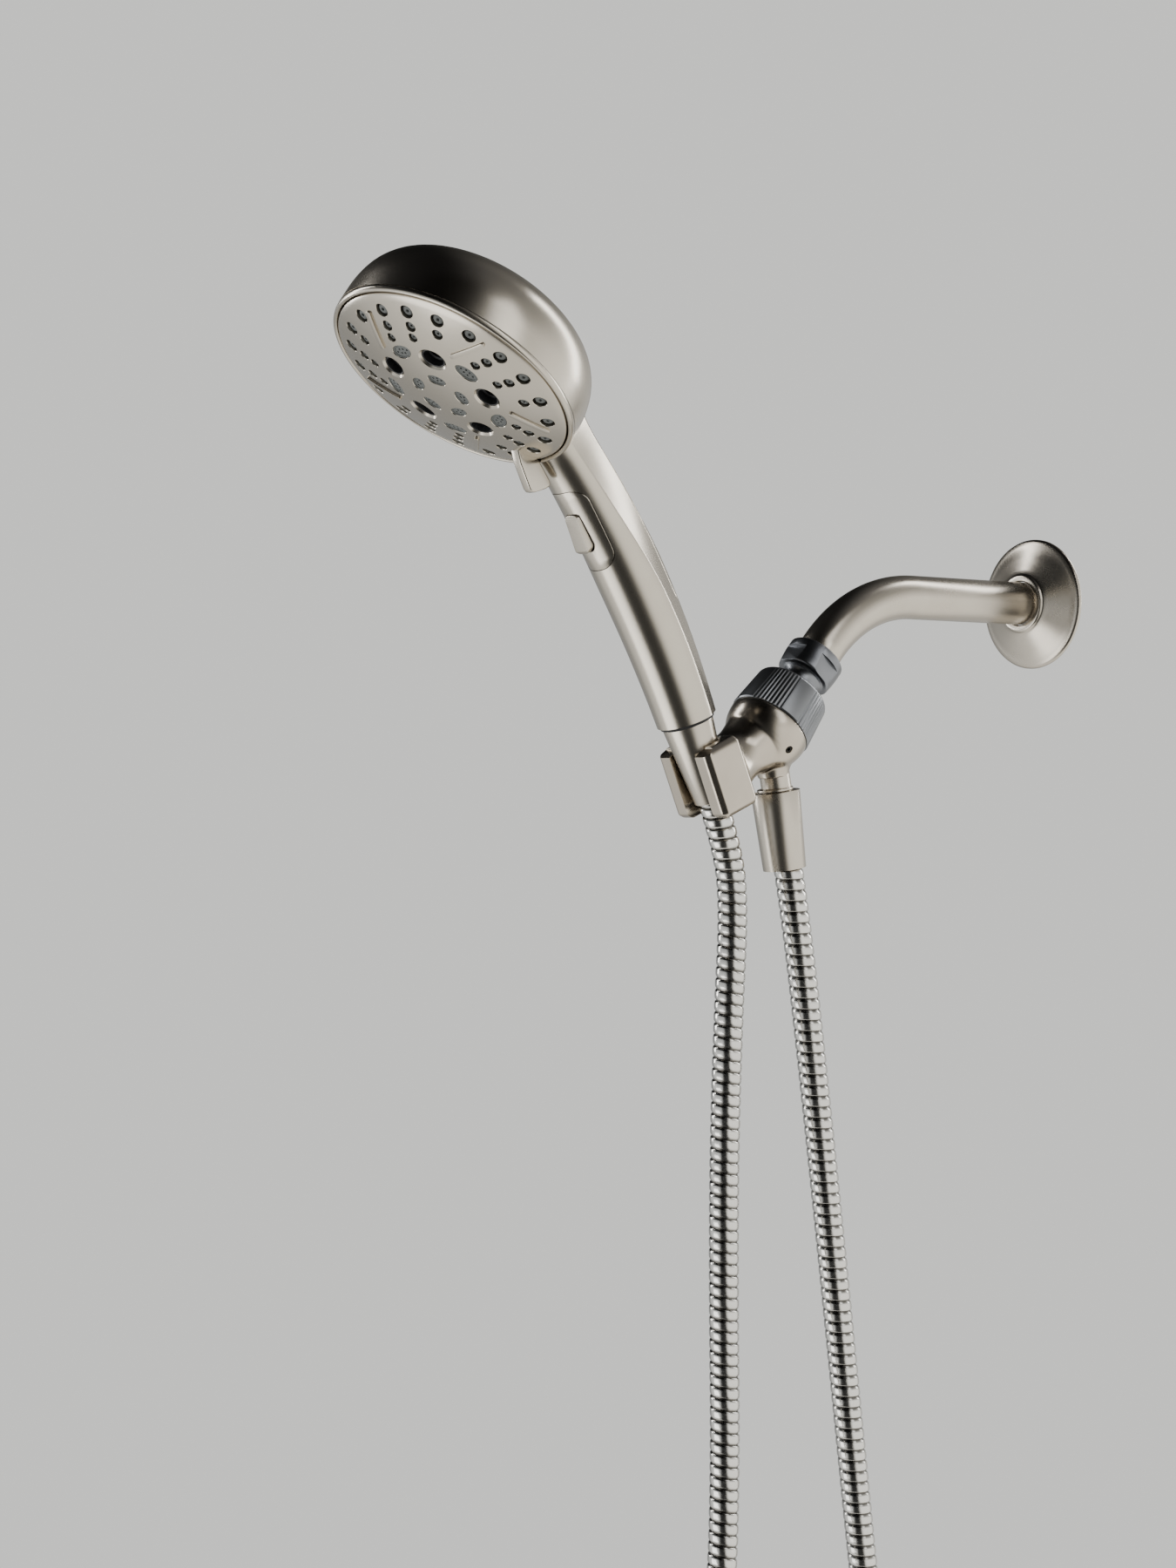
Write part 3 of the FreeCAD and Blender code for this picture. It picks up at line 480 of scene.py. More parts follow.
def makeHose():
    line = routeLine(hose["route"])
    lengths = along(line)
    total = lengths[-1]
    strip, around = hose["strip"], hose["around"]
    pitch = hose["pitch"] * milli
    rows = int(total / pitch + 2) * len(strip)
    cursor = [0]

    def crossSection(distance):
        # place, side and forward direction at a distance along the line
        distance = min(max(distance, 0.0), total)
        index = cursor[0]
        while index and lengths[index] > distance:
            index -= 1
        while index < len(line) - 2 and lengths[index + 1] < distance:
            index += 1
        cursor[0] = index
        share = (distance - lengths[index]) / (lengths[index + 1] - lengths[index])
        place = line[index].lerp(line[index + 1], share)
        before = line[max(index - 1, 0)]
        after = line[min(index + 2, len(line) - 1)]
        return place, (after - before).normalized()

    points, grooves = [], []
    for row in range(rows):
        turnNumber, step = divmod(row, len(strip))
        # the third value of each row is how much dirt and painted shade darken the strip there
        offset, depth, grimeAndShade = strip[step]
        for column in range(around):
            place, forward = crossSection((turnNumber - 1 + offset + column / around) * pitch)
            angle = 2 * math.pi * column / around
            radius = (hose["across"] / 2 - depth) * milli
            sideways = Vector((1, 0, 0))
            points.append(place + radius * (math.cos(angle) * sideways
                                            + math.sin(angle) * sideways.cross(forward)))
            grooves.append(grimeAndShade)
    faces = []
    for row in range(rows - len(strip) - 1):
        for column in range(around):
            last = column == around - 1
            here = row * around + column
            beside = (row + len(strip)) * around if last else here + 1
            faces.append((here, beside, beside + around, here + around))
    data = bpy.data.meshes.new("hose_spiral")
    data.from_pydata(points, [], faces)
    attribute = data.attributes.new("groove", "FLOAT", "POINT")
    attribute.data.foreach_set("value", grooves)
    piece = bpy.data.objects.new("hose_spiral", data)
    bpy.context.scene.collection.objects.link(piece)
    select(piece)
    editAll()
    bpy.ops.mesh.dissolve_degenerate(threshold=0.00002)
    bpy.ops.mesh.select_all(action="DESELECT")
    bpy.ops.mesh.select_non_manifold()
    bpy.ops.mesh.edge_face_add()
    bpy.ops.mesh.select_all(action="SELECT")
    bpy.ops.mesh.normals_make_consistent(inside=False)
    leaveEdit()
    bpy.ops.object.shade_smooth_by_angle(angle=math.radians(50))
    data.materials.append(rolledSteel)
    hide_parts("hose")
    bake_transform(piece)


makeHose()
print("hose ready")


# wall flange and shower arm
flange = {"rim": 32.5, "deep": 11.0, "hole": 11.0, "wall": 1.6}
arm = {"radius": 10.67, "run": 87.0, "bend": 78.0, "turn": 48.0, "tail": 6.44, "wall": 2.77,
       "inlet": 20.0, "thread": 1.814, "threadRoot": 9.1, "threadCrown": 10.2}


def makeFlange():
    rim, deep, hole = flange["rim"], flange["deep"], flange["hole"]
    profile = [(rim - 0.6, 0), (rim, 0.4), (rim, 1.3)]
    profile += [(rim - 0.3, 2.0), (rim - 1.2, 2.7), (29.6, 3.1), (27.2, 4.0), (24.0, 5.3), (20.4, 6.8),
                (17.2, 8.2), (15.4, 9.0), (14.7, 9.5), (14.35, 10.3), (13.9, 10.85), (13.3, deep)]
    profile += [(11.5, deep), (hole, deep - 0.5), (hole, deep - 3.2), (16.0, 7.0), (23.0, 4.1),
                (28.6, flange["wall"]), (rim - 1.8, 0), (rim - 0.6, 0)]
    piece = lathe("wall_flange_cover", profile, around=144)
    soften(piece, 0.25, degrees=30)
    finish(piece, wallFrame, "arm_side", satinNickel, replaces=["wall_flange"])


def makeArm():
    radius, turn = arm["radius"], math.radians(arm["turn"])
    select()
    bpy.ops.mesh.primitive_circle_add(vertices=96, radius=radius)
    piece = called("arm_tube")
    editAll()
    bpy.ops.mesh.extrude_region_move(TRANSFORM_OT_translate={"value": (0, 0, arm["run"])})
    bpy.ops.mesh.spin(steps=48, angle=-turn, center=(0, -arm["bend"], arm["run"]), axis=(1, 0, 0))
    tail = (0, -arm["tail"] * math.sin(turn), arm["tail"] * math.cos(turn))
    bpy.ops.mesh.extrude_region_move(TRANSFORM_OT_translate={"value": tail})
    leaveEdit()
    merge(piece)
    modify(piece, "SOLIDIFY", thickness=arm["wall"], offset=-1, use_even_offset=True)
    soften(piece, 0.3)
    finish(piece, wallFrame, "arm_side", satinNickel, replaces=["shower_arm"])


def makeInlet():
    # pipe thread that screws into the fitting in the wall
    profile = [(arm["radius"] - arm["wall"], 0.1), (arm["threadCrown"], 0.1)]
    depth = 0.4
    while depth + arm["thread"] < arm["inlet"]:
        profile += [(arm["threadCrown"], -depth), (arm["threadRoot"], -depth - arm["thread"] * 0.45),
                    (arm["threadCrown"], -depth - arm["thread"] * 0.9)]
        depth += arm["thread"]
    profile += [(arm["threadRoot"], -arm["inlet"]), (arm["radius"] - arm["wall"], -arm["inlet"]),
                (arm["radius"] - arm["wall"], 0.1)]
    piece = lathe("arm_inlet_thread", profile)
    finish(piece, wallFrame, "arm_side", brass)


makeFlange()
makeArm()
makeInlet()
print("flange and arm ready")


# ball stem and clamp nut, heights measured from the end of the arm's bend
stem = {"collar": 14.0, "top": 6.5, "flatTop": 11.0, "flat": 12.4, "neck": 9.2, "ball": 14.0,
        "ballAt": 41.0, "bore": 5.0, "socket": 10.35}
nut = {"top": 29.0, "topRadius": 16.2, "shoulder": 18.7, "end": 51.0, "endRadius": 20.4, "mouth": 12.9,
       "thread": 17.3, "spigot": 41.7, "groups": 5, "ribs": 8, "ribTurn": 5.6, "groove": 0.95,
       "firstRib": 36.0}


def makeStem():
    collar, top, bore, socket = stem["collar"], stem["top"], stem["bore"], stem["socket"]
    start = math.degrees(math.asin(stem["neck"] / stem["ball"]))
    profile = [(socket, 8.0), (10.75, top), (collar - 0.7, top), (collar, 7.2), (collar, 12.0),
               (13.75, 15.5), (13.3, 18.8)]
    profile += arc(12.2, 18.9, 1.1, 0, 90, 4)
    profile += [(11.0, 20.2), (10.0, 20.9), (9.45, 21.9), (stem["neck"], 23.2)]
    profile += arc(0, stem["ballAt"], stem["ball"], start - 90, 51.8, 20)
    profile += [(bore, 52), (bore, 18.5), (socket, 18.5), (socket, 8.0)]
    piece = lathe("ball_stem_turned", profile, around=120)
    for across in ("X", "Y"):
        cutFlats(piece, across, stem["flat"], 6, 20, stem["flatTop"], 24)
    soften(piece, 0.3, degrees=24)
    finish(piece, ballFrame, "arm_side", blackNickel, replaces=["ball_stem"])


def makeNut():
    top, end = nut["top"], nut["end"]
    profile = [(nut["mouth"], 30.4), (nut["mouth"] + 0.5, top), (nut["topRadius"] - 0.6, top)]
    profile += arc(nut["topRadius"] - 0.4, top + 2.6, 2.6, -88, -8, 6)
    profile += [(nut["endRadius"], end - 0.5), (nut["endRadius"] - 0.5, end), (18.2, end),
                (nut["thread"], end - 0.9), (nut["thread"], nut["spigot"]), (15.9, nut["spigot"]),
                (15.3, 37.0), (14.2, 33.4), (nut["mouth"], 30.4)]
    piece = lathe("clamp_nut_knurled", profile, around=180)
    # Groups of grooves leave fine ribs between smooth stretches for the grip.
    lean = math.atan2(nut["endRadius"] - nut["shoulder"], end - top - 3)
    cutters = []
    for group in range(nut["groups"]):
        for rib in range(nut["ribs"]):
            turn = math.radians(nut["firstRib"] + 360 * group / nut["groups"] + rib * nut["ribTurn"])
            middle = (nut["shoulder"] + nut["endRadius"]) / 2 + 0.35
            bpy.ops.mesh.primitive_cylinder_add(
                vertices=10, radius=nut["groove"], depth=end - top + 3,
                location=(middle * math.cos(turn), middle * math.sin(turn), (top + end) / 2 + 0.4),
                rotation=(0, lean, turn))
            settle()
            cutters.append(bpy.context.object)
    carve(piece, joined("grooves", cutters))
    soften(piece, 0.10, degrees=35)
    finish(piece, ballFrame, "bracket", darkNut, replaces=["clamp_nut"])


makeStem()
makeNut()
print("ball joint ready")


# bracket body: dome under the nut, neck, cradle and outlet boss in one casting
casting = {"dome": 20.0, "domeAt": 53.0, "spigot": 17.1, "spigotTop": 42.0, "seat": 15.9, "ballAt": 41.0,
           "half": 18.0, "front": 9.5, "back": 13.0, "top": 12.5, "end": 46.5, "corner": 2.5, "slot": 9.0,
           "gap": 0.35, "grain": 0.55, "neck": 13.2, "pipe": 7.25, "screw": 1.6}
cone = {"top": 1.5, "topRadius": 12.1, "end": 40.0, "endRadius": 8.4, "bore": 9.5, "step": 18.4,
        "mouth": 7.55}


def coneRadius(depth):
    share = (depth - cone["top"]) / (cone["end"] - cone["top"])
    return cone["topRadius"] + share * (cone["endRadius"] - cone["topRadius"])


def makeCasting():
    domeAt, top, end = casting["domeAt"], casting["top"], casting["end"]
    half, front, back = casting["half"], casting["front"], casting["back"]
    toCradle = relative(cradleFrame, ballFrame)
    toOutlet = relative(outletFrame, ballFrame)
    dome = lathe("dome", [(0, casting["spigotTop"]), (casting["spigot"], casting["spigotTop"]),
                          (casting["spigot"], 51.0), (19.6, 51.0)]
                 + arc(0, domeAt, casting["dome"], -4.5, 90, 16), around=120)
    rear = toCradle @ Vector((0, back - 3, -(top + end) / 2))
    start = Vector((0, 0, domeAt))
    reach = (rear - start).length
    neck = casting["neck"]
    waist = flowing([(neck + 3.6, reach * 0.22), (neck + 1.3, reach * 0.44), (neck, reach * 0.62),
                     (neck + 0.6, reach * 0.78), (neck + 3.0, reach * 0.98)], 4)
    web = lathe("neck", [(0, 0), (neck + 3.6, 0), *waist, (0, reach * 0.98)])
    shiftTo(web, Matrix.Translation(start) @ turnTo(rear - start))
    boss = lathe("boss", [(0, 5), (13.5, 12.5), (11.2, 15.6), (9.5, 17.4), (8.4, 19.0), (7.7, 20.8),
                          (casting["pipe"], 23.0), (0, 23.0)])
    shiftTo(boss, toOutlet)
    cradle = block("cradle", (-half, -front, -end), (half, back, -top), casting["corner"], 1)
    shiftTo(cradle, toCradle)
    piece = joined("bracket_casting", [dome, web, boss, cradle])
    modify(piece, "REMESH", mode="VOXEL", voxel_size=casting["grain"])
    modify(piece, "SMOOTH", factor=0.5, iterations=8)

    bore = lathe("bore", [(0, -end - 2), (coneRadius(end + 2) + casting["gap"], -end - 2),
                          (coneRadius(top + 2) + casting["gap"], -top - 2),
                          (coneRadius(top) + casting["gap"] + 1.6, -top + 0.4), (0, -top + 0.4)], around=120)
    slot = casting["slot"]
    mouth = block("mouth", (-slot, -front - 5, -end - 5), (slot, 0, -top + 5))
    # The two jaws are lower at the mouth than at the back, and their inner edges are broken.
    jaws = plank("jaws", [(-16, -top - 5.2), (-4.0, -top - 1.0), (-4.0, -top + 6), (-16, -top + 6)], -30, 30)
    for cutter in (bore, mouth, jaws):
        shiftTo(cutter, toCradle)
    seat = lathe("seat", arc(0, casting["ballAt"], casting["seat"], -90, 90, 24), around=96)
    throat = lathe("open", [(0, casting["spigotTop"] - 2), (casting["seat"], casting["spigotTop"] - 2),
                            (casting["seat"], casting["spigotTop"]), (0, casting["spigotTop"])])
    carve(piece, bore, mouth, jaws, seat, throat)
    soften(piece, 0.35, degrees=40)
    return piece


def makeScrew():
    # a socket screw sunk in the dome, where its CAD node lies
    low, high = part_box("grub_screw")
    middle = (low + high) / 2
    place = Matrix.Translation(domeCentre) @ turnTo((middle - domeCentre).normalized())
    crown = casting["dome"]
    radius = casting["screw"]
    profile = [(0, crown - 4.4), (radius - 0.3, crown - 4.4), (radius, crown - 4.0), (radius, crown - 0.7),
               (radius - 0.25, crown - 0.45), (0.9, crown - 0.45), (0.8, crown - 2.0), (0, crown - 2.4)]
    screw = lathe("grub_screw_socket", profile, around=36)
    finish(screw, place, "bracket", blackSteel, replaces=["grub_screw"])
    hole = lathe("hole", [(0, crown - 5), (radius + 0.12, crown - 5), (radius + 0.12, crown - 0.5),
                          (radius + 0.7, crown + 0.4), (0, crown + 0.4)], around=36)
    shiftTo(hole, relative(place, ballFrame))
    return hole


bracketCasting = makeCasting()
carve(bracketCasting, makeScrew())
finish(bracketCasting, ballFrame, "bracket", castNickel, crease=38,
       replaces=["bracket_body"])
print("bracket ready")


# outlet ring, hose nut and the cone nut on the handset
outlet = {"ring": 8.6, "ringTop": 28.2, "ringHigh": 1.5, "pipe": 7.2, "nutTop": 29.85, "nutRadius": 11.6,
          "nutEnd": 66.5, "nutEndRadius": 10.2, "mouth": 7.55, "step": 47.0, "thread": 9.6, "flat": 10.6}


def makeOutlet():
    ringTop, ringEnd = outlet["ringTop"], outlet["ringTop"] + outlet["ringHigh"]
    piece = lathe("outlet_collar", [(outlet["pipe"], ringTop), (outlet["ring"], ringTop),
                                    (outlet["ring"], ringEnd), (outlet["pipe"], ringEnd),
                                    (outlet["pipe"], ringTop)])
    soften(piece, 0.45, segments=4)
    finish(piece, outletFrame, "bracket", satinNickel, replaces=["outlet_ring"])
    piece = lathe("outlet_hose_nut", [
        (outlet["thread"], outlet["nutTop"]), (outlet["nutRadius"], outlet["nutTop"]),
        (outlet["nutEndRadius"], outlet["nutEnd"]), (outlet["mouth"], outlet["nutEnd"]),
        (outlet["mouth"], outlet["step"]), (outlet["thread"], outlet["step"]),
        (outlet["thread"], outlet["nutTop"])], around=120)
    cutFlats(piece, "X", outlet["flat"], 5, 15, 28, 68)
    soften(piece, 0.4, segments=3, degrees=20)
    finish(piece, outletFrame, "bracket", satinNickel, replaces=["bracket_hose_nut"])


def makeConeNut():
    top, end = -cone["top"], -cone["end"]
    piece = lathe("handset_cone_nut", [
        (cone["bore"], top), (cone["topRadius"], top), (cone["endRadius"], end), (cone["mouth"], end),
        (cone["mouth"], -cone["step"]), (cone["bore"], -cone["step"]), (cone["bore"], top)], around=120)
    soften(piece, 0.5, segments=4, degrees=20)
    finish(piece, cradleFrame, "handset", satinNickel, replaces=["cone_nut"])


makeOutlet()
makeConeNut()
print("outlet and cone nut ready")


# handset: one shell for head and handle, with plates let into its skin
handset = {
    # angle along the spine and radius; the last ones flare into the head
    "sections": [(0.0, 14.1), (4.0, 15.3), (8.0, 16.0), (11.5, 15.4), (15.0, 14.6), (16.3, 14.8),
                 (17.1, 15.9), (17.9, 18.0), (19.4, 19.0)],
    "wall": 2.2,
    # radius and height of the head's back, and of the room inside it
    "back": [(0, -44.8), (16, -44.3), (30, -42.3), (41, -38.5), (50, -32.5), (55.4, -24.8), (57.9, -15.5),
             (58.4, -6.0)],
    "room": [(0, -42.6), (15.8, -42.1), (29.3, -40.2), (39.9, -36.6), (48.3, -31), (53.3, -23.9),
             (55.7, -15.1), (56.1, -6.0)],
    "seam": -2.9, "rimRadius": 58.4, "rimInner": 56.1,
    # where the crease runs, degrees round from the front at three angles of the spine, and the flat behind it
    "crease": [(0.0, 108.0, 30.0), (3.7, 104.0, 44.0), (7.5, 97.0, 56.0), (12.2, 80.0, 64.0),
               (18.0, 66.0, 70.0)],
    "creaseDepth": 0.9,
    "plate": {"at": 11.95, "half": 11.0, "reach": 19.6, "corner": 7.0, "depth": -9.0, "gap": 0.35},
    "cover": {"at": 10.75, "half": 9.0, "reach": 45.8, "corner": 8.6, "depth": 9.0, "gap": 0.35},
    "button": {"at": 11.9, "half": 4.5, "low": -9.2, "high": 9.0, "corner": 2.6, "gap": 0.4,
               "outline": [(-11.5, 9.0), (-15.6, 9.0), (-17.4, 0.0), (-19.0, -7.6), (-18.4, -9.2),
                           (-11.5, -9.2)]},
}


def creaseAt(degrees):
    rows = handset["crease"]
    degrees = min(max(degrees, rows[0][0]), rows[-1][0] - 0.001)
    for (low, edge, flat), (high, nextEdge, nextFlat) in zip(rows, rows[1:]):
        if degrees < high:
            share = (degrees - low) / (high - low)
            return edge + share * (nextEdge - edge), flat + share * (nextFlat - flat)


def handleSolid(name, inset=0.0, extra=0.0):
    # straight first, then creased and bent along the spine
    reach = layout["spineRadius"] * math.pi / 180
    line = [(radius - inset, degrees * reach) for degrees, radius in flowing(handset["sections"])]
    line[0] = (line[0][0], -extra)
    line[-1] = (line[-1][0], line[-1][1] + extra)
    piece = lathe(name, [(0, line[0][1]), *line, (0, line[-1][1])], around=144)
    radius = layout["spineRadius"]
    for vertex in piece.data.vertices:
        x, y, height = vertex.co
        angle = height / radius
        edge, flat = creaseAt(math.degrees(angle))
        # the row of points at each side slides to the crease, and the others share out what is left
        bearing, side = math.degrees(math.atan2(abs(x), -y)), math.copysign(1.0, x)
        bearing = bearing * edge / 90 if bearing < 90 else edge + (bearing - 90) * (180 - edge) / 90
        size = math.hypot(x, y)
        if edge < bearing < edge + flat:
            half = math.radians(flat / 2)
            sunk = math.cos(half) / math.cos(math.radians(bearing - edge) - half)
            size *= 1 - handset["creaseDepth"] * (1 - sunk)
        x, y = side * size * math.sin(math.radians(bearing)), -size * math.cos(math.radians(bearing))
        vertex.co = (x, y * math.cos(angle) - radius * (1 - math.cos(angle)),
                     y * math.sin(angle) + radius * math.sin(angle))
    return piece


def zone(name, part, grow, outer, inner):
    # the rounded prism that bounds a plate let into the handle's skin
    outline = rounded(part["half"] + grow, -part["reach"] - grow, part["reach"] + grow, part["corner"] + grow)
    piece = slab(name, outline, min(outer, inner), max(outer, inner))
    shiftTo(piece, relative(spineFrame(part["at"]), cradleFrame))
    return piece


def slotCutter(name, grow, low, high):
    part = handset["button"]
    piece = slab(name, rounded(part["half"] + grow, part["low"] - grow * 2, part["high"] + grow,
                               part["corner"] + grow), low, high)
    shiftTo(piece, relative(spineFrame(part["at"]), cradleFrame))
    return piece


def makeShell():
    toFace = relative(faceFrame, cradleFrame)
    seam, rim = handset["seam"], handset["rimRadius"]
    # the room for the rim ring is cut from the handle first, then the head closes it at the seam
    whole = handleSolid("handset_casing")
    front = lathe("front", [(0, seam - 0.4), (rim + 0.12, seam - 0.4), (rim + 0.12, 14), (0, 14)], around=152)
    shiftTo(front, toFace)
    carve(whole, front)
    head = lathe("head", [*flowing(handset["back"], 4), (rim, seam), (0, seam)], around=160)
    shiftTo(head, toFace)
    combine(whole, head, "UNION")

    plate, cover = handset["plate"], handset["cover"]
    pieces = []
    for name, part, outer in (("handle_trim_plate", plate, -26), ("handle_back_cover", cover, 26)):
        piece = copyOf(whole, name)
        combine(piece, zone("zone", part, 0, outer, part["depth"]), "INTERSECT")
        pieces.append(piece)
    room = lathe("room", [*flowing(handset["room"], 3), (handset["rimInner"], 6), (0, 6)], around=128)
    shiftTo(room, toFace)
    carve(whole, room, handleSolid("bore", handset["wall"], 1.0))
    for part, outer, floor in ((plate, -26, plate["depth"] + 0.2), (cover, 26, cover["depth"] - 0.2)):
        carve(whole, zone("zone", part, part["gap"], outer, floor))
    carve(whole, slotCutter("slot", handset["button"]["gap"], -26, -6))
    carve(pieces[0], slotCutter("slot", handset["button"]["gap"], -26, -6))
    for piece, node in ((whole, "handset_shell"), (pieces[0], "trim_plate"), (pieces[1], "back_cover")):
        soften(piece, 0.30, degrees=42)
        finish(piece, cradleFrame, "handset", satinShell, crease=40, replaces=[node])


def makeButton():
    part = handset["button"]
    pad = plank("pause_button_pad", part["outline"], -part["half"], part["half"])
    combine(pad, slab("outline", rounded(part["half"], part["low"], part["high"], part["corner"]), -30, 0),
            "INTERSECT")
    soften(pad, 0.7, segments=4, degrees=30)
    bpy.ops.mesh.primitive_cylinder_add(vertices=24, radius=0.9, depth=12.0, location=(0, -12.3, 8.1),
                                        rotation=(0, math.pi / 2, 0))
    settle()
    pad = joined("pause_button_pad", [pad, bpy.context.object])
    finish(pad, spineFrame(part["at"]), "pause_button", satinShell,
           replaces=["pause_button"])


makeShell()
makeButton()
print("handset ready")


# spray face and everything let into it
face = {
    "radius": 55.6, "rise": 9.5, "wall": 2.0, "skirt": 4.0, "chamfer": 0.22,
    # one fifth of the pattern: ring radius, angle, hole radius
    "nozzles": [(48.0, 11.5, 3.15), (48.0, 30.5, 3.15), (48.0, 48.5, 3.15), (48.0, 66.5, 3.15),
                (40.6, 14.0, 2.5), (40.6, 48.0, 2.5), (40.6, 66.8, 2.5), (34.8, 17.5, 2.2),
                (34.8, 68.0, 2.2)],
    # ring radius, angle, half width round the ring and across it
    "jets": (24.4, 54, 5.9, 4.9), "outerInsert": (27.0, 18, 5.6, 3.5), "innerInsert": (11.2, 54, 4.4, 2.9),
    "bar": {"from": (32.0, 36.0), "to": (49.0, 22.0), "wide": 2.3, "high": 0.9},
}
sphereRadius = (face["radius"] ** 2 + face["rise"] ** 2) / (2 * face["rise"])
fifths = [72 * index for index in range(5)]


def domeHeight(x, y):
    return math.sqrt(sphereRadius ** 2 - x * x - y * y) - sphereRadius + face["rise"]


def spotOn(ringRadius, degrees):
    # a local frame on the dome: Z out of it, X across the ring, Y round it
    angle = math.radians(degrees)
    x, y = ringRadius * math.cos(angle), ringRadius * math.sin(angle)
    tilt = math.asin(ringRadius / sphereRadius)
    return (Matrix.Translation((x, y, domeHeight(x, y))) @ Matrix.Rotation(angle, 4, "Z")
            @ Matrix.Rotation(tilt, 4, "Y"))


def repeated(name, spots, make):
    # one model, copied to each spot as its own mesh, then joined
    model = make()
    copies = []
    for spot in spots:
        copy = copyOf(model, name)
        shiftTo(copy, spot)
        copies.append(copy)
    bpy.data.objects.remove(model)
    return joined(name, copies)


def spots(ringRadius, degrees):
    return [spotOn(ringRadius, degrees + turn) for turn in fifths]


def oval(piece, across, halfRound):
    for vertex in piece.data.vertices:
        vertex.co.x *= across
        vertex.co.y *= halfRound
    return piece


def holeCutter(radius, around, chamfer, deep):
    return lathe("hole", [(0, -9), (radius, -9), (radius, -deep), (radius + chamfer, 0.02),
                          (radius + chamfer + 0.02, 2.0), (0, 2.0)], around)


def ovalCutter(kind, chamfer):
    ringRadius, degrees, halfRound, across = face[kind]
    return repeated("ovals", spots(ringRadius, degrees),
                    lambda: oval(holeCutter(1.0, 48, chamfer / halfRound, chamfer), across, halfRound))


def makeFace():
    radius, wall, skirt = face["radius"], face["wall"], face["skirt"]
    outer = [(x, domeHeight(x, 0)) for x in (0, 6, 12, 18, 24, 30, 36, 42, 48, 52, radius - 0.8)]
    inner = [(x, domeHeight(x, 0) - wall) for x in (53.4, 48, 40, 30, 20, 10, 0)]
    piece = lathe("spray_face_plate", outer + [(radius - 0.15, -0.25), (radius, -0.8), (radius, -skirt),
                                               (radius - wall, -skirt)] + inner, around=160)
    cutters = []
    for ringRadius, degrees, holeRadius in face["nozzles"]:
        cutters.append(repeated("holes", spots(ringRadius, degrees),
                                lambda: holeCutter(holeRadius, 28, face["chamfer"], face["chamfer"] + 0.05)))
    cutters += [ovalCutter("jets", 1.1), ovalCutter("outerInsert", 0.3), ovalCutter("innerInsert", 0.3)]
    carve(piece, joined("holes", cutters))
    finish(piece, faceFrame, "spray_selector", satinShell, crease=24,
           replaces=["spray_face"])


def makeBars():
    # slanted raised bars between the groups of holes
    bar = face["bar"]
    bars = []
    for turn in fifths:
        ends = [Vector((r * math.cos(math.radians(a + turn)), r * math.sin(math.radians(a + turn)), 0))
                for r, a in (bar["from"], bar["to"])]
        middle, line = (ends[0] + ends[1]) / 2, ends[1] - ends[0]
        outline = rounded(line.length / 2, -bar["wide"] / 2, bar["wide"] / 2, bar["wide"] / 2 - 0.01, 5)
        piece = slab("bar", outline, -0.6, bar["high"])
        soften(piece, 0.25, segments=3)
        turned = Matrix.Rotation(math.atan2(line.y, line.x), 4, "Z") @ Matrix.Rotation(math.pi / 2, 4, "X")
        shiftTo(piece, Matrix.Translation(middle) @ turned)
        for cut in range(1, 6):
            select(piece)
            editAll()
            bpy.ops.mesh.bisect(plane_co=ends[0] + line * cut / 6, plane_no=line.normalized())
            leaveEdit()
        for vertex in piece.data.vertices:
            vertex.co.z += domeHeight(vertex.co.x, vertex.co.y)
        bars.append(piece)
    piece = joined("spray_face_bars", bars)
    merge(piece)
    finish(piece, faceFrame, "spray_selector", satinShell)


def makeNozzles():
    # soft tips that stand in their holes, with a lip, a trough and a bore
    tips = []
    for ringRadius, degrees, holeRadius in face["nozzles"]:
        r = holeRadius - 0.08

        def tip():
            return lathe("tip", [(0, -4), (r, -4), (r, -2.4), (r * 0.86, -2.5), (r * 0.80, -1.5),
                                 (r * 0.68, -1.05), (r * 0.48, -0.85), (r * 0.34, -0.8), (r * 0.24, -0.95),
                                 (r * 0.20, -2.2), (0, -2.2)], around=24)
        tips.append(repeated("tips", spots(ringRadius, degrees), tip))
    piece = joined("nozzle_tips", tips)
    finish(piece, faceFrame, "spray_selector", greySilicone, replaces=["nozzle_mat"])


def makeInserts():
    pieces = []
    for kind, dots in (("outerInsert", [(-3.1, 0), (-1.05, 0.9), (1.05, -0.9), (3.1, 0), (-1.0, -1.2),
                                        (1.0, 1.2)]),
                       ("innerInsert", [(-2.0, 0.2), (0, -0.7), (2.0, 0.2), (0, 0.9)])):
        ringRadius, degrees, halfRound, across = face[kind]

        def insert():
            profile = [(0, -4), (0.975, -4), (0.975, -0.55), (0.95, -0.35), (0.86, -0.35), (0.82, -0.75),
                       (0.4, -0.7), (0, -0.7)]
            plate = oval(lathe("plate", profile, around=48), across, halfRound)
            holes = []
            for alongRing, acrossRing in dots:
                hole = lathe("hole", [(0, -2.6), (0.5, -2.6), (0.5, -0.9), (0.62, 0), (0, 0)], around=12)
                shiftTo(hole, Matrix.Translation((acrossRing, alongRing, 0)))
                holes.append(hole)
            carve(plate, joined("holes", holes))
            return plate
        pieces.append(repeated("inserts", spots(ringRadius, degrees), insert))
    piece = joined("spray_insert_pads", pieces)
    finish(piece, faceFrame, "spray_selector", greySilicone, replaces=["spray_inserts"])


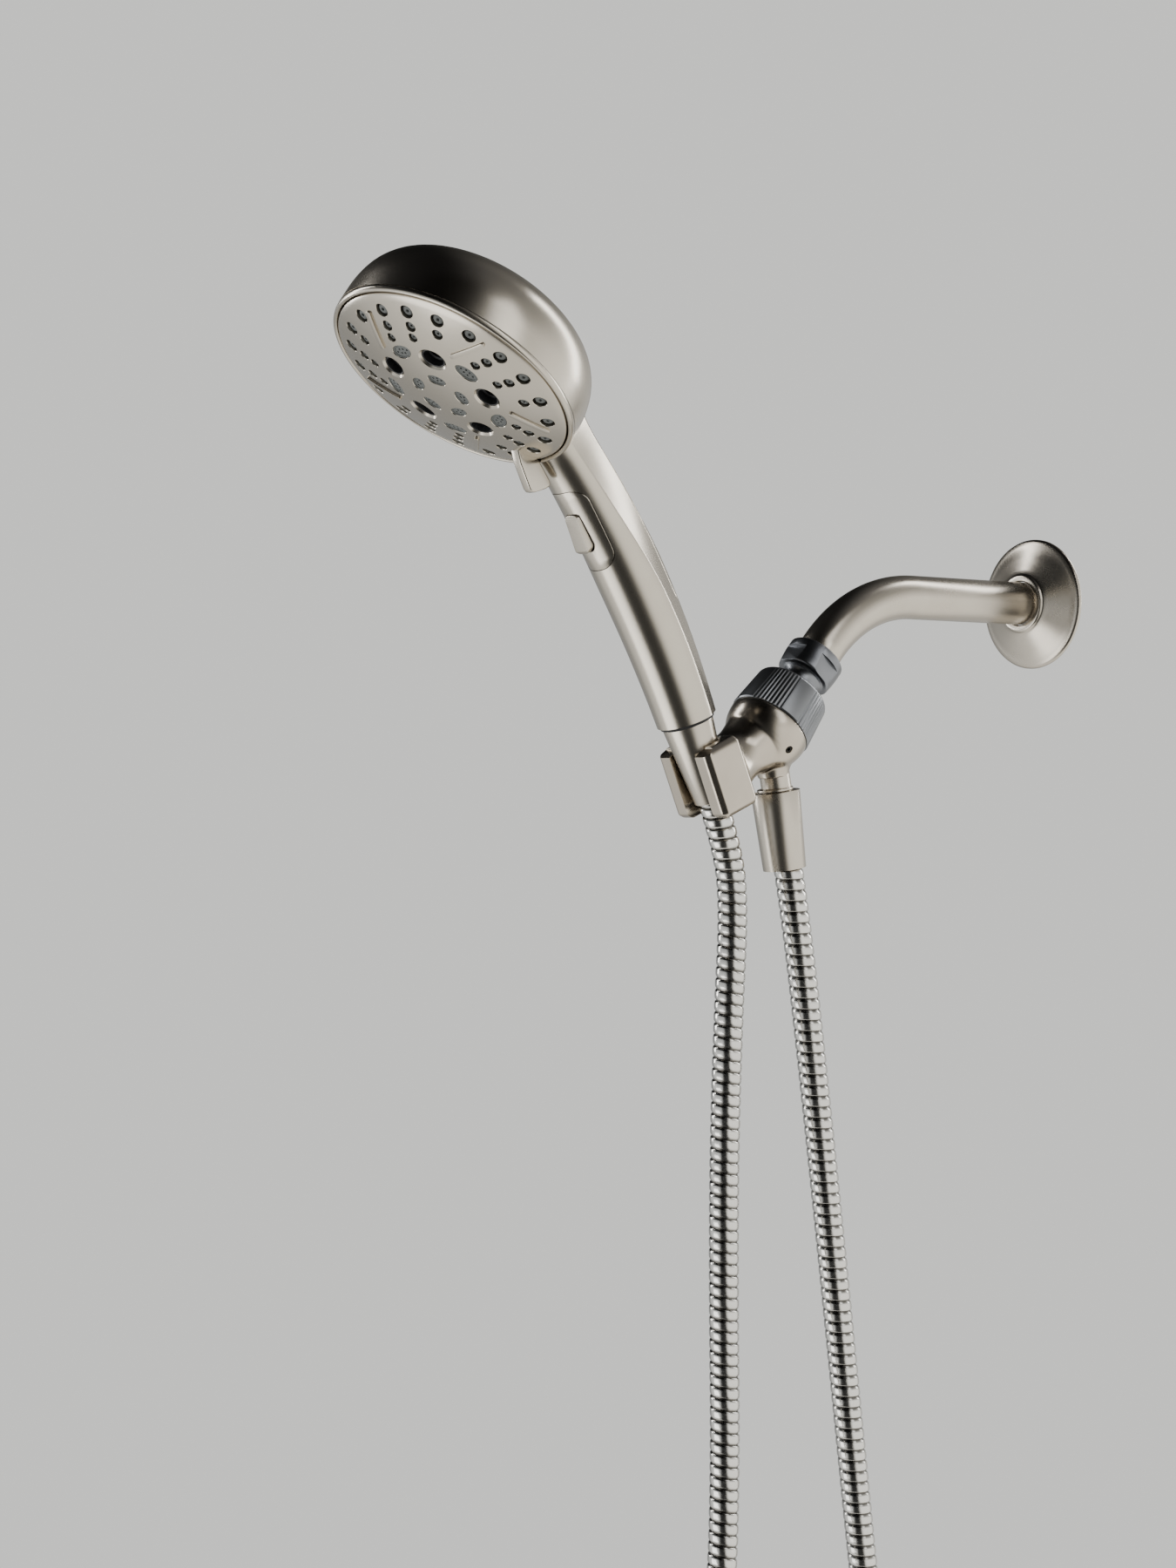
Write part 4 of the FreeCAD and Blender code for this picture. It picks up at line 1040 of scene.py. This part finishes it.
def makeJets():
    # dark cups with a stepped throat behind the open ovals
    ringRadius, degrees, halfRound, across = face["jets"]

    def cup():
        profile = [(0, -11.0), (0.97, -11.0), (0.97, -1.15), (0.93, -1.0), (0.86, -1.15), (0.80, -4.5),
                   (0.60, -4.8), (0.55, -8.0), (0.30, -8.3), (0.25, -10.0), (0, -10.0)]
        outer = oval(lathe("cup", profile, around=48), across, halfRound)
        fins = [block("fin", (-0.35, -halfRound * 0.8, -9), (0.35, halfRound * 0.8, -5.4)),
                block("fin", (-across * 0.8, -0.35, -9), (across * 0.8, 0.35, -5.4))]
        return joined("cup", [outer, *fins])
    piece = repeated("jet_throats", spots(ringRadius, degrees), cup)
    finish(piece, faceFrame, "spray_selector", blackABS, replaces=["jet_cups"])


def makeRim():
    seam, rim, inner = handset["seam"], handset["rimRadius"], handset["rimInner"]
    piece = lathe("head_rim_ring", [
        (inner, seam + 0.12), (rim - 0.15, seam + 0.12), (rim, seam + 0.3), (rim - 0.05, -1.4),
        (rim - 0.25, -0.75), (rim - 0.7, -0.25), (rim - 1.2, -0.05), (rim - 1.7, -0.15), (inner + 0.25, -0.5),
        (inner, -0.9), (inner, seam + 0.12)], around=180)
    finish(piece, faceFrame, "handset", satinShell, crease=50, replaces=["rim_ring"])


def makeLever():
    outline = [(-43.5, 3.0), (-48.6, 7.2), (-59.3, 13.2), (-61.2, 13.4), (-62.8, 12.4), (-66.4, 7.6),
               (-67.4, 5.6), (-67.2, 4.2), (-66.0, 3.2), (-60.0, 1.0), (-55.0, -0.6), (-46.0, 0.5)]
    piece = plank("spray_lever", outline, -2.7, 2.7)
    soften(piece, 0.9, segments=4, degrees=40)
    finish(piece, faceFrame, "spray_selector", satinShell,
           replaces=["selector_lever"])


makeFace()
makeBars()
makeNozzles()
makeInserts()
makeJets()
makeRim()
makeLever()
print("spray face ready")


# finishes of the CAD nodes that stay as they are
keptFinishes = [
    (satinNickel, ["outlet_pipe", "bracket_ferrule", "hand_ferrule"]),
    (nitrile, ["nut_gasket", "bracket_hose_washer", "hand_hose_washer", "ball_seal", "base_seal"]),
    (acetal, ["friction_ring", "flow_restrictor", "flow_regulator", "check_valve", "valve_plunger",
              "turbine_rotor", "axle_sleeve"]),
    (stainless, ["inlet_screen", "filter_screen", "base_screws", "centre_screw", "detent_spring",
                 "detent_ball"]),
    (brass, ["inlet_stub"]),
    (blackABS, ["valve_body", "water_tube_lower", "water_tube_upper", "base_plate", "turbine_chamber",
                "distributor"]),
]
for material, names in keptFinishes:
    for name in names:
        for place in frame["nodes"][name].material_slots:
            place.material = material
print("CAD finishes ready")


# studio: pale floor, soft boxes, and a sky that is pale beside the wall and dark overhead on the left
studio = {
    "right": (0.6256, 0.7802, 0.0), "front": (0.7802, -0.6256, 0.0), "floorRadius": 1.15, "floorDrop": 0.02,
    # cosines to the right or the front between which the sky changes, and the values before and after
    "pale": (-0.10, 0.38, 0.0, 1.0), "lift": (-0.75, -0.30, 1.0, 2.3),
    "gapOffset": 0.10, "gap": (0.26, 0.64, 1.0, 0.0), "gapAhead": (0.10, 0.45, 0.0, 0.96),
    "backdrop": "#D2D2CF", "backdropStrength": 1.3,
    "boxes": [
        # name, place, aims at, width, height, power
        ("keyBox", (1.30, -0.15, 0.75), (0, -0.25, -0.05), 0.5, 1.0, 3),
        ("leftStrip", (-1.15, -0.85, 0.35), (0, -0.28, -0.05), 0.25, 1.3, 9),
        ("lowFill", (-0.35, -1.30, -0.75), (0, -0.34, 0.05), 0.9, 0.7, 5),
        ("backStrip", (0.25, 0.95, 0.55), (0, -0.20, -0.10), 0.3, 1.3, 8),
    ],
}


def easeBetween(tree, source, low, high, before, after):
    # goes smoothly from one value to the other while the source goes from low to high
    limits = {"From Min": low, "From Max": high, "To Min": before, "To Max": after}
    return addNode(tree, "MapRange", limits, {"Value": source}, interpolation_type="SMOOTHSTEP").outputs[0]


def makeSky():
    world = bpy.data.worlds.new("studioSky")
    bpy.context.scene.world = world
    world.use_nodes = True
    tree = world.node_tree
    way = addNode(tree, "TexCoord").outputs["Generated"]
    height = addNode(tree, "SeparateXYZ", links={"Vector": way}).outputs["Z"]
    toRight, toFront = (
        addNode(tree, "VectorMath", {1: studio[side]}, {0: way}, operation="DOT_PRODUCT").outputs["Value"]
        for side in ("right", "front"))
    leftSky = addNode(tree, "ValToRGB", links={"Fac": addNode(
        tree, "MapRange", {"From Min": -1.0, "From Max": 1.0}, {"Value": height}).outputs[0]})
    rightSky = addNode(tree, "ValToRGB", links={"Fac": leftSky.inputs["Fac"].links[0].from_socket})
    for ramp, stops in ((leftSky, ((0.0, "#C9C8C4"), (0.46, "#A9ABAC"), (0.58, "#8E9091"), (0.66, "#1E1F20"),
                                   (1.0, "#0C0C0D"))),
                        (rightSky, ((0.0, "#DEDCD6"), (0.5, "#E2E1DD"), (0.62, "#BDBCB8"), (0.76, "#7A7976"),
                                    (1.0, "#3C3C3E")))):
        elements = ramp.color_ramp.elements
        elements[0].color, elements[1].color = srgb(stops[0][1]), srgb(stops[-1][1])
        for place, colour in stops[1:-1]:
            elements.new(place).color = srgb(colour)
    share = easeBetween(tree, toRight, *studio["pale"])
    sides = addNode(tree, "Mix", links={0: share}, data_type="RGBA")
    # Bright to both sides, with a narrow dark gap in front that draws a dark line down every round piece.
    lift = easeBetween(tree, toFront, *studio["lift"])
    middle = addNode(tree, "Math", {1: studio["gapOffset"]}, {0: toRight}, operation="ADD")
    sideways = addNode(tree, "Math", links={0: middle.outputs[0]}, operation="ABSOLUTE")
    gap = easeBetween(tree, sideways.outputs[0], *studio["gap"])
    ahead = easeBetween(tree, toFront, *studio["gapAhead"])
    shade = addNode(tree, "Math", links={0: gap, 1: ahead}, operation="MULTIPLY")
    unshaded = addNode(tree, "Math", {0: 1.0}, {1: shade.outputs[0]}, operation="SUBTRACT")
    dim = addNode(tree, "Math", links={0: lift, 1: unshaded.outputs[0]}, operation="MULTIPLY")
    tree.links.new(leftSky.outputs["Color"], sides.inputs[6])
    tree.links.new(rightSky.outputs["Color"], sides.inputs[7])
    # behind the object the studio is one plain pale grey, whichever way it is looked at
    seen = addNode(tree, "LightPath").outputs["Is Camera Ray"]
    backdrop = addNode(tree, "Mix", {7: srgb(studio["backdrop"])}, {0: seen, 6: sides.outputs[2]},
                       data_type="RGBA")
    strength = addNode(tree, "Mix", {3: studio["backdropStrength"]}, {0: seen, 2: dim.outputs[0]},
                       data_type="FLOAT")
    background = tree.nodes["Background"]
    tree.links.new(backdrop.outputs[2], background.inputs["Color"])
    tree.links.new(strength.outputs[0], background.inputs["Strength"])


def makeBoxes():
    for name, place, target, width, height, power in studio["boxes"]:
        aim = (Vector(target) - Vector(place)).to_track_quat("-Z", "Y").to_euler()
        bpy.ops.object.light_add(type="AREA", location=place, rotation=aim)
        lamp = bpy.context.object
        lamp.name = name
        lamp.data.shape = "RECTANGLE"
        lamp.data.size = width
        lamp.data.size_y = height
        lamp.data.energy = power


def makeFloor():
    # Matt painted board, a pale warm grey with a faint roller texture.
    paint = surface("paintedBoard", "#DAD9D5", "#D2D1CD", 0.75, 0.62, 0.4, grainMm=3.0, patchMm=160.0,
                    bump=0.1, metal=0.0, IOR=1.5)
    low, high = cadBox
    select()
    bpy.ops.mesh.primitive_circle_add(vertices=128, radius=studio["floorRadius"], fill_type="NGON",
                                      location=(0, (low.y + high.y) / 2, low.z - studio["floorDrop"]))
    floor = called("studio_floor")
    settle()
    floor.data.materials.append(paint)
    # polished pieces reflect the sky below them in place of the board
    floor.visible_glossy = False


makeSky()
makeBoxes()
makeFloor()
print("studio ready")
